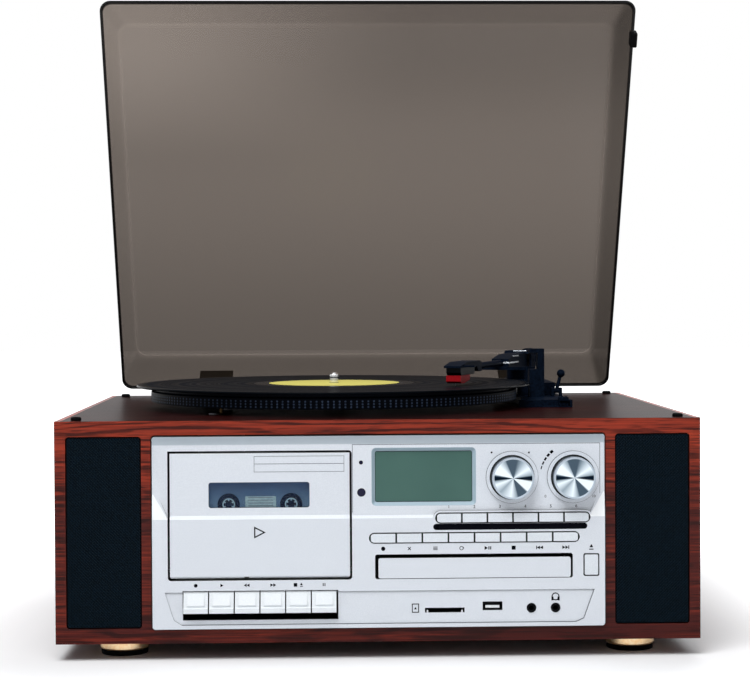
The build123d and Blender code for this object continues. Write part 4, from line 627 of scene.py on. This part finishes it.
def sprayed(name, colour, darker, lighter, shaded_walls):
    """Sprayed paint with fine metal flakes; the last argument masks walls painted black as shade."""
    material, shader, place = finish(name, colour, 0.4, gloss=0.3)
    flake = speckle(place, 2200, 3)
    paint = flake.between(0.3, 0.7).blend(darker, lighter)
    lay(shader, "Base Color", shaded_walls(place).blend(paint, gap_shade_black))
    lay(shader, "Roughness", 0.36 + flake * 0.08)
    return material


def key_side_shade(place):
    """1 on a key's side walls, which are painted black as the shade between the keys."""
    return abs(place.node("TexCoord", out=1).along(0)).between(0.8, 0.92)


key_white = sprayed("key_paint", tint(226, 232, 236), tint(216, 222, 227), tint(228, 233, 237), key_side_shade)
for name in key_names:
    eased(f"key_{name}", 0.3, f"key_{name}_body", "silver_plastic", key_white)
key_pitch, first_key, key_mark_up = 17.4, -124.7, 39.7
record, play, rewind, forward, stop, pause = (first_key + number * key_pitch for number in range(6))
mark(20, record, key_mark_up, lower_face, 2.5)
arrow(play, key_mark_up, lower_face, 2.8, 0)
for key_x, turn in ((rewind, pi), (forward, 0)):
    for half in (-1.0, 1.0):
        arrow(key_x + half, key_mark_up, lower_face, 2.6, turn)
mark(4, stop - 2, key_mark_up, lower_face, 2.4)
arrow(stop + 2, key_mark_up + 0.3, lower_face, 2.2, -pi / 2)
mark(4, stop + 2, key_mark_up - 1.1, lower_face, 2, 0.4)
for bar_x in (-0.6, 0.6):
    mark(4, pause + bar_x, key_mark_up, lower_face, 0.6, 2.1)
press("key_marks", "case", "silver_plastic", ink)

# ======== Push buttons
# Two rows of caps cut from one capsule each, and the tray button, all moulded and sprayed like the
# fascia. Each presses a switch on the board behind it.
# The caps' side walls are painted black, as the shade in the gaps between them.
cap_silver = sprayed("cap_paint", tint(222, 228, 234), tint(210, 217, 224), tint(222, 228, 234), wall_shade)
for row, count in (("function", 6), ("transport", 8)):
    for number in range(count):
        name = f"{row}_button_{number + 1}"
        eased(name, 0.12, name + "_body", "silver_plastic", cap_silver)
eased("eject_button", 0.15, "eject", "silver_plastic", cap_silver)

# ======== Knobs
# Aluminium caps turned on a lathe, with a bright chamfer and a sunk face spun in fine rings. The
# face's reflection is painted into its colour as bright, grey and dark wedges. Each sits on the shaft
# of a control behind the front.
knob_r, knob_face, knob_back, knob_z = 14.2, -184.5, -173.3, under_case + knob_up
chamfer, face_r, face_cut, face_sunk = 0.9, 13.0, 0.12, 0.3
ring_wide, ring_deep, ring_pitch = 1.4, 0.02, 0.35
dark, grey, light, bright = tint(10, 20, 30), tint(60, 74, 86), tint(126, 140, 150), tint(202, 212, 219)
# Painted reflection: the spun face's colour by angle round its centre, from dark to bright.
painted_sheen = {
    0: dark, 6: dark, 10: light, 32: bright, 62: light, 78: grey, 112: grey, 117: light, 138: bright,
    166: bright, 171: grey, 175: dark, 185: dark, 189: light, 200: bright, 226: light, 262: bright,
    280: light, 285: grey, 314: grey, 319: bright, 348: bright, 354: dark, 360: dark,
}


def faces_where(piece, test):
    """Selects the faces whose centre and normal pass the test. The piece is in edit mode."""
    shape = bmesh.from_edit_mesh(piece.data)
    for face in shape.faces:
        face.select_set(bool(test(face.calc_center_median(), face.normal)))
    bmesh.update_edit_mesh(piece.data)


def edges_where(piece, test):
    """Selects the edges whose two ends pass the test. The piece is in edit mode."""
    bpy.ops.mesh.select_all(action="DESELECT")
    bpy.ops.mesh.select_mode(type="EDGE")
    shape = bmesh.from_edit_mesh(piece.data)
    for edge in shape.edges:
        edge.select_set(all(test(corner.co) for corner in edge.verts))
    bmesh.update_edit_mesh(piece.data)
    bpy.ops.mesh.select_mode(type="FACE")


for name, body, knob_x in (("tuning_knob", "tuning", tuning_x), ("volume_knob", "volume", volume_x)):
    spun, shader, place = finish(name + "_metal", tint(205, 210, 215), 0.32, 1.0)
    spot = place.node("Mapping", {}, {"Vector": place, "Location": (-knob_x * mm, 0, -knob_z * mm)})
    part_x, part_z = spot.along(0), spot.along(2)
    turn = (part_z.maths("ARCTAN2", part_x) * (0.5 / pi) + 1).maths("FRACT")
    stops = [(angle / 360, colour) for angle, colour in painted_sheen.items()]
    sheen_wedges = turn.node("ValToRGB", {"stops": stops}, {0: turn})
    from_axis = (part_x * part_x + part_z * part_z).maths("SQRT")
    on_face = from_axis.between(face_r * mm, (face_r - 0.2) * mm)
    lay(shader, "Base Color", on_face.blend(tint(156, 166, 176), sheen_wedges))
    relief(shader, (from_axis * (2 * pi / (ring_pitch * mm))).maths("SINE"), 0.004 * mm)
    bpy.ops.object.select_all(action="DESELECT")
    bpy.ops.mesh.primitive_cylinder_add(
        vertices=96,
        radius=knob_r * mm,
        depth=(knob_back - knob_face) * mm,
        location=on_front(knob_x, knob_z, (knob_face + knob_back) / 2),
        rotation=(pi / 2, 0, 0),
    )
    knob = bpy.context.object
    bpy.ops.object.transform_apply(location=True, rotation=True, scale=True)
    bpy.ops.object.mode_set(mode="EDIT")
    edges_where(knob, lambda corner: corner.y < (knob_face + 0.1) * mm)
    bpy.ops.mesh.bevel(offset=chamfer * mm, segments=3, affect="EDGES")
    faces_where(knob, lambda middle, normal: normal.y < -0.99 and middle.y < (knob_face + 0.01) * mm)
    bpy.ops.mesh.inset(thickness=0.5 * mm)
    bpy.ops.mesh.inset(thickness=face_cut * mm)
    bpy.ops.transform.translate(value=(0, face_sunk * mm, 0))
    for _ in range(8):
        bpy.ops.mesh.inset(thickness=ring_wide * mm)
        bpy.ops.transform.translate(value=(0, ring_deep * mm, 0))
    bpy.ops.object.mode_set(mode="OBJECT")
    bpy.ops.object.shade_smooth_by_angle(angle=radians(25))
    settle(knob, name + "_cap", body, "knob_metal", spun, name)

# ======== CD tray and loader
# The tray is black plastic behind a front sprayed like the fascia, and slides in a black frame that
# also carries the disc's clamp and motor.
# Behind its front and on its side walls the tray takes the silver paint's black, which stands for its black
# plastic and for the painted shade in the gaps.
eased("cd_tray", 0.12, "tray", "silver_plastic", silver)
loader_black = mottled("loader_black", tint(16, 16, 18), tint(26, 26, 28), 0.55, 700, 0.03, gloss=0.15)
dress(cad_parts["cd_loader"], loader_black)

# ======== Circuit boards
# Phenolic boards with copper tracks under green lacquer, fixed inside the case. They are seen only
# through the openings.
board_green, shader, place = finish("board_green", tint(18, 66, 42), 0.4)
tracks = place.node("TexVoronoi", {}, {"Vector": place, "Scale": 160.0})
lay(shader, "Base Color", tracks.between(0.4, 0.5).blend(tint(16, 58, 38), tint(24, 88, 56)))
dress(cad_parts["circuit_boards"], board_green)

# ======== Sockets
# Black moulded jacks, card slot and data port in front, and a power inlet and two phono sockets
# with coloured plastic collars behind.
jack_black = mottled("jack_black", tint(6, 7, 10), tint(13, 14, 17), 0.45, 800, 0.0, gloss=0.05)
eased("front_sockets", 0.12, "case", "socket_metal", jack_black)
eased("rear_sockets", 0.2, "case", "black_plastic", jack_black)
port_x, tongue_up, tongue_y, slot_ends, slot_up = 77, 23.5, -174.9, (32.6, 56.2), 20.7
mark(4, port_x, tongue_up, tongue_y, 9.6, 1.7)
for end_x in slot_ends:
    mark(4, end_x, slot_up, strip_face + 0.3, 1.0, 1.5)
contact_white = mottled("contact_white", tint(214, 218, 222), tint(226, 229, 232), 0.5, 900, 0.0, gloss=0.2)
press("socket_contacts", "case", "socket_metal", contact_white, 0.6)
collar_y, collar_z, collar_r, collar_thick = 171.2, 60, 5.6, 0.9
collars = {"red": (-110, tint(196, 24, 28)), "white": (-94, tint(226, 228, 230))}
for colour_name, (collar_x, colour) in collars.items():
    bpy.ops.object.select_all(action="DESELECT")
    bpy.ops.mesh.primitive_torus_add(
        major_segments=40,
        minor_segments=10,
        major_radius=collar_r * mm,
        minor_radius=collar_thick * mm,
        location=(collar_x * mm, collar_y * mm, collar_z * mm),
        rotation=(pi / 2, 0, 0),
    )
    moulded = mottled(f"collar_{colour_name}", colour, colour, 0.45, 700, 0.02, gloss=0.3)
    settle(bpy.context.object, f"phono_collar_{colour_name}", "case", "black_plastic", moulded)

# ======== Screws
# Blackened steel screws with pan heads: two in the deck, and six that hold the rear board along its
# top and bottom.
screw_black = mottled("blackened_steel", tint(60, 60, 64), tint(86, 86, 90), 0.35, 900, 0.0, 1.0)
eased("case_screws", 0.35, "case", "deck_metal", screw_black)

# ======== Motor, pulley, belt and spindle
# A small motor under the deck turns the platter through a brass pulley and a flat rubber belt. The
# spindle is plated steel and stays still; dark bands painted round it stand for its reflections.
steel = mottled("motor_steel", tint(150, 152, 156), tint(176, 178, 180), 0.35, 700, 0.0, 1.0)
dress(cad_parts["turntable_motor"], steel)
# The pulley's brass is coloured dark.
dark_pulley_brass = mottled("darkened_brass", tint(92, 72, 44), tint(120, 96, 60), 0.45, 500, 0.0, 1.0)
eased("motor_pulley", 0.2, "pulley", "pulley_brass", dark_pulley_brass)
dress(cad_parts["drive_belt"], rubber)
chrome, shader, place = finish("spindle_chrome", tint(226, 228, 230), 0.12, 1.0)
# Painted reflections: dark bands round the chrome, one every few millimetres up the spindle.
reflected_band_pitch = 4.2
reflected_bands = (place.along(2) * (2 * pi / (reflected_band_pitch * mm))).maths("SINE")
lay(shader, "Base Color", reflected_bands.between(0.75, 0.95).blend(tint(232, 233, 235), tint(40, 42, 46)))
eased("spindle", 0.3, "case", "spindle_steel", chrome)

# ======== Platter and record
# A pressed steel platter, painted black, with a rubber mat and three rows of strobe dots on its
# rim. The record is pressed vinyl with a paper label.
platter_x, platter_y, deck, platter_r = -29.2, -8.5, 163.5, 139.7
rim_black = mottled("platter_paint", tint(3, 6, 14), tint(7, 12, 22), 0.4, 500, 0.0, gloss=0.02)
eased("platter", 0.3, "turntable", "platter_black", rim_black)
dot_pitch, dot_size, dot_corner = 4.0, 1.3, 0.4
dots_round = int(2 * pi * platter_r / dot_pitch)
step = 2 * pi / dots_round
axis = {"center": (platter_x * mm, platter_y * mm, 0), "axis": (0, 0, 1)}
for dot_up in (7.0, 9.0, 11.0):
    bpy.ops.object.select_all(action="DESELECT")
    bpy.ops.mesh.primitive_plane_add(
        size=dot_size * mm,
        location=((platter_x + platter_r) * mm, platter_y * mm, (deck + dot_up) * mm),
        rotation=(0, pi / 2, 0),
    )
    dot = bpy.context.object
    bpy.ops.object.transform_apply(location=True, rotation=True, scale=True)
    bpy.ops.object.mode_set(mode="EDIT")
    bpy.ops.mesh.select_all(action="SELECT")
    bpy.ops.mesh.bevel(offset=dot_corner * mm, segments=2, affect="VERTICES")
    bpy.ops.mesh.select_all(action="SELECT")
    bpy.ops.mesh.spin(steps=dots_round - 1, dupli=True, angle=step * (dots_round - 1), **axis)
    bpy.ops.object.mode_set(mode="OBJECT")
    marks.append(dot)
strobe_paint = mottled("strobe_paint", tint(62, 80, 106), tint(82, 100, 130), 0.5, 900, 0.0, gloss=0.1)
press("strobe_dots", "turntable", "platter_black", strobe_paint)
groove_in, groove_out, groove_pitch = 61, 147, 0.5
vinyl, shader, place = finish("pressed_vinyl", tint(10, 11, 14), 0.22, gloss=0.5, bend=1.06)
spot = place.node("Mapping", {}, {"Vector": place, "Location": (-platter_x * mm, -platter_y * mm, 0)})
radius = spot.vector("MULTIPLY", (1, 1, 0)).vector("LENGTH", out=1)
groove = (radius * (2 * pi / (groove_pitch * mm))).maths("SINE")
bands = speckle(radius.node("CombineXYZ", {}, {0: radius}), 160, 2)
grooved = radius.between(groove_in * mm, (groove_in + 1) * mm)
grooved = grooved * radius.between(groove_out * mm, (groove_out - 1) * mm)
lay(shader, "Roughness", 0.16 + grooved * (bands.between(0.4, 0.6) * 0.16 + 0.12))
lay(shader, "Base Color", bands.between(0.45, 0.55).blend(tint(6, 9, 14), tint(15, 19, 25)))
relief(shader, groove * grooved, 0.008 * mm)
eased("record", 0.2, "turntable", "vinyl", vinyl)
label_r, label_up, label_thick, hole_r = 50, 17.98, 0.16, 4
ring_in, ring_width, ring_up = 14, 0.5, 0.08
label_paper, shader, place = finish("label_paper", tint(226, 208, 70), 0.6)
fibres = speckle(place, 500, 3)
lay(shader, "Base Color", fibres.blend(tint(208, 198, 92), tint(228, 220, 120)))
relief(shader, fibres, 0.02 * mm)
bpy.ops.object.select_all(action="DESELECT")
bpy.ops.mesh.primitive_circle_add(
    vertices=96,
    radius=label_r * mm,
    fill_type="NGON",
    location=(platter_x * mm, platter_y * mm, (deck + label_up) * mm),
)
label = bpy.context.object
bpy.ops.object.transform_apply(location=True, rotation=True, scale=True)
bpy.ops.object.mode_set(mode="EDIT")
bpy.ops.mesh.select_all(action="SELECT")
push((0, 0, label_thick * mm))
bpy.ops.mesh.inset(thickness=ring_in * mm)
bpy.ops.mesh.inset(thickness=ring_width * mm)
bpy.ops.transform.translate(value=(0, 0, ring_up * mm))
bpy.ops.mesh.inset(thickness=(label_r - ring_in - ring_width - hole_r) * mm)
bpy.ops.mesh.delete(type="FACE")
bpy.ops.object.mode_set(mode="OBJECT")
bpy.ops.object.shade_smooth_by_angle(angle=radians(25))
settle(label, "record_label", "turntable", "vinyl", label_paper)

# ======== Tonearm
# Black mouldings on a black plinth: a turret that swings, the arm that tilts in it, the cue lever
# and its lift, and the speed selector. Thin light strips on the arm are painted highlights, and it
# carries a red stylus block.
arm_black = mottled("arm_black", tint(8, 13, 23), tint(15, 25, 40), 0.35, 700, 0.01, gloss=0.5, bend=1.045)
eased("tonearm_base", 0.4, "case", "black_plastic", arm_black)
eased("tonearm_turret", 0.3, "turret", "black_plastic", arm_black)
eased("tonearm", 0.4, "arm", "arm_metal", arm_black)
eased("cue_lift", 0.25, "lift", "black_plastic", arm_black)
eased("cue_lever", 0.2, "lever", "arm_metal", arm_black)
eased("speed_selector", 0.2, "selector", "black_plastic", arm_black)
pivot, arm_turn = (127.2, 106.5), radians(20.04)
# Near-white strips stand for the highlights along the black arm's edges.
arm_highlight_paint = mottled("painted_arm_highlight", tint(206, 214, 224), tint(232, 238, 244), 0.25, 700, 0.0, 0.6)


def arm_highlight_strip(along, across, height, length, width, tall):
    """A painted highlight as a thin light strip: along is from the pivot to the head, across to its right."""
    bpy.ops.object.select_all(action="DESELECT")
    spot = (
        (pivot[0] - along * sin(arm_turn) + across * cos(arm_turn)) * mm,
        (pivot[1] - along * cos(arm_turn) - across * sin(arm_turn)) * mm,
        height * mm,
    )
    bpy.ops.mesh.primitive_cube_add(size=1, location=spot, rotation=(0, 0, -arm_turn))
    strip = bpy.context.object
    strip.scale = (width * mm, length * mm, tall * mm)
    bpy.ops.object.transform_apply(location=True, rotation=True, scale=True)
    bpy.ops.object.mode_set(mode="EDIT")
    bpy.ops.mesh.select_all(action="SELECT")
    bpy.ops.mesh.bevel(offset=0.1 * mm, segments=2, affect="EDGES")
    bpy.ops.object.mode_set(mode="OBJECT")
    marks.append(strip)


highlight_strips = {
    "top_band": (12.4, 2.6, 202.4, 0.5, 11, 0.6),
    "high_side_band": (45, 7.05, 199.4, 18, 0.4, 0.9),
    "low_side_band": (52, 7.05, 194.4, 32, 0.4, 1.4),
    "end_band": (68.05, 0.3, 194.4, 0.4, 13.6, 1.4),
}
for sizes in highlight_strips.values():
    arm_highlight_strip(*sizes)
press("arm_highlight_strip", "arm", "arm_metal", arm_highlight_paint, 0.0)
stylus_red, shader, place = finish("stylus_red", tint(190, 22, 30), 0.3, bend=1.12)
red_top, tip_top = 26, 20.2
height = place.along(2)
body_part = height.between((deck + red_top - 0.05) * mm, (deck + red_top + 0.05) * mm)
tip_part = height.between((deck + tip_top + 0.05) * mm, (deck + tip_top - 0.05) * mm)
red_block = speckle(place, 900, 2).blend(tint(132, 12, 20), tint(170, 26, 34))
cartridge_tone = body_part.blend(red_block, tint(4, 6, 10))
lay(shader, "Base Color", tip_part.blend(cartridge_tone, tint(235, 235, 235)))
eased("cartridge", 0.3, "arm", "stylus_red", stylus_red)

# ======== Cassette door, window, cassette and mechanism
# The door is moulded and sprayed like the fascia, and carries a smoked window and the cassette. The
# mechanism behind it stands on a zinc-plated chassis.
# Its side walls and sunk faces take the silver paint's black, painted as the shade in the gaps.
eased("cassette_door", 0.12, "tape_door", "silver_plastic", silver)
door_mark_x, door_mark_up, label_x, label_middle, label_wide = -82.3, 75.55, -54.25, 121.75, 61.3
mark(3, door_mark_x, door_mark_up, lower_face, 9.4, 10.6, pi / 2, lines=0.85)
press("door_marks", "tape_door", "silver_plastic", ink)
mark(4, label_x, label_middle, upper_face, label_wide, 10.9, lines=0.3)
mark(4, label_x, label_middle + 0.15, upper_face, label_wide, 0.35)
press("door_label", "tape_door", "silver_plastic", pale_ink_and_edge_shade)
smoked_window, shader, place = finish("smoked_acrylic", tint(22, 36, 58), 0.1, gloss=0.2, alpha=0.3)
drift = speckle(place, 40, 2)
lay(shader, "Base Color", drift.blend(tint(12, 32, 62), tint(32, 62, 104)))
eased("door_window", 0.15, "tape_door", "smoked_window", smoked_window)
shell_clear, shader, place = finish("cassette_shell", tint(100, 134, 160), 0.3)
# The shell is coloured lighter low down and darker towards the top.
shell_low = speckle(place, 60, 2) * 6 * mm + place.along(2)
shell_tone = shell_low.between(125 * mm, 106 * mm).blend(tint(72, 118, 168), tint(142, 188, 220))
lay(shader, "Base Color", shell_tone)
eased("cassette", 0.3, "tape_door", "cassette_shell", shell_clear)
shell_face, hubs, hub_up, hub_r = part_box("cassette")[0][1] / mm, (-102.25, -59.75), 94.2, 7.6
hub_bore, tooth_r, tooth_count = 8.6, 3.2, 6
for hub_x in hubs:
    mark(32, hub_x, hub_up, shell_face, 2 * hub_r)
press("cassette_hubs", "tape_door", "cassette_shell", jack_black)
for hub_x in hubs:
    mark(24, hub_x, hub_up, shell_face - 0.1, hub_bore, lines=0.8)
    for tooth in range(tooth_count):
        angle = pi / 6 + tooth * 2 * pi / tooth_count
        tooth_x, tooth_up = hub_x + tooth_r * cos(angle), hub_up + tooth_r * sin(angle)
        mark(4, tooth_x, tooth_up, shell_face - 0.1, 1.6, 0.9, -angle)
window_x, window_up, first_line, line_step = -80.5, 95, 98.9, 1.9
mark(4, window_x, window_up, shell_face, 21, 9.4)
frosted = mottled("frosted", tint(150, 184, 190), tint(176, 206, 210), 0.5, 700, 0.0)
press("cassette_window", "tape_door", "cassette_shell", frosted)
for row in range(4):
    mark(4, window_x, first_line - line_step * row, shell_face - 0.12, 17, 0.35)
press("cassette_scale", "tape_door", "cassette_shell", pale_ink_and_edge_shade)
chassis = mottled("zinc_plate", tint(150, 152, 150), tint(172, 172, 168), 0.4, 500, 0.0, 1.0)
dress(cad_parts["tape_mechanism"], chassis)

# ======== Lid
# One hood of smoked acrylic, 2 mm thick, vacuum formed. Its cut edge looks black, and a rubber
# block sits on its rim. It turns on two hinges and closes onto four rubber bumpers. Painted shade
# makes its smoke denser low down and on the right, a painted reflection lightens its upper left,
# and its folds carry a painted highlight.
lid_angle = radians(64.57)
lid_origin = Vector((0, 177, 164.5)) * mm
lid_up, lid_along = Vector((0, sin(lid_angle), cos(lid_angle))), Vector((0, cos(lid_angle), -sin(lid_angle)))
rim_rise, fold_low, fold_high, wall_low, wall_high = 4.0, 57.9, 59.6, 51, 57
acrylic, shader, place = finish("smoked_lid", tint(58, 52, 48), 0.22, gloss=0.12)
rise = place.vector("DOT_PRODUCT", lid_up, out=1) - lid_origin.dot(lid_up)
rim = rise.between((rim_rise + 0.4) * mm, rim_rise * mm)
across, high = place.along(0), place.along(2)
# The folds round the panel are painted light grey, as a highlight.
fold_highlight = rise.between(fold_low * mm, (fold_low + 0.4) * mm) * (1 - high.between(0.44, 0.46))
fold_highlight = fold_highlight * rise.between(fold_high * mm, (fold_high - 0.3) * mm)
haze_and_fold_highlight = speckle(place, 9, 3).blend((0.012, 0.009, 0.006, 1), (0.018, 0.013, 0.009, 1))
haze_and_fold_highlight = fold_highlight.blend(haze_and_fold_highlight, (0.66, 0.65, 0.64, 1))
lay(shader, "Base Color", rim.blend(haze_and_fold_highlight, tint(4, 4, 5)))
walls = rise.between(wall_high * mm, wall_low * mm)
# The smoke's density carries painted light and shade: more low down, on the rear wall and on the right wall,
# less higher up and in the upper left corner as a reflection, and a little more near the top.
rear_wall_shade = high.between(0.197, 0.190)
reflected_corner = across.between(0.05, -0.2) * high.between(0.36, 0.46)
smoke_with_painted_light = 0.67 - high.between(0.18, 0.36) * 0.075 - reflected_corner * 0.14 + walls * 0.045 + rear_wall_shade * 0.02
smoke_with_painted_light = smoke_with_painted_light + (across.between(0.2, 0.206) * 0.095 + high.between(0.38, 0.46) * 0.045)
density = (rim * 0.45 + smoke_with_painted_light).maths("MINIMUM", 1)
tinted = place.node("BsdfTransparent", {}, {"Color": (1, 0.925, 0.87, 1)})
smoked = place.node("MixShader", {}, {0: density, 1: tinted, 2: Shade(place.tree, shader.outputs[0])})
place.tree.links.new(smoked.socket, place.tree.nodes["Material Output"].inputs["Surface"])
eased("dust_cover", 0.8, "lid", "lid_acrylic", acrylic, 3, 20)
bpy.ops.object.select_all(action="DESELECT")
block_x, block_along, block_rise, block_size = 211.6, -317, 4.4, (5.5, 12, 9.6)
spot = lid_origin + (Vector((block_x, 0, 0)) + lid_along * block_along + lid_up * block_rise) * mm
bpy.ops.mesh.primitive_cube_add(size=1, location=spot)
block = bpy.context.object
block.scale = [side * mm for side in block_size]
block.rotation_euler = (-lid_angle, 0, 0)
bpy.ops.object.transform_apply(location=True, rotation=True, scale=True)
bpy.ops.object.mode_set(mode="EDIT")
bpy.ops.mesh.select_all(action="SELECT")
bpy.ops.mesh.bevel(offset=1.1 * mm, segments=3, affect="EDGES")
bpy.ops.object.mode_set(mode="OBJECT")
settle(block, "lid_block", "lid", "foot_rubber", rubber)
hinge_black = mottled("hinge_black", tint(5, 6, 8), tint(11, 12, 15), 0.45, 700, 0.01, bend=1.12)
eased("hinge_brackets", 0.25, "case", "black_plastic", hinge_black)
eased("hinge_arms", 0.25, "lid", "black_plastic", hinge_black)
eased("lid_bumpers", 0.3, "case", "foot_rubber", rubber)
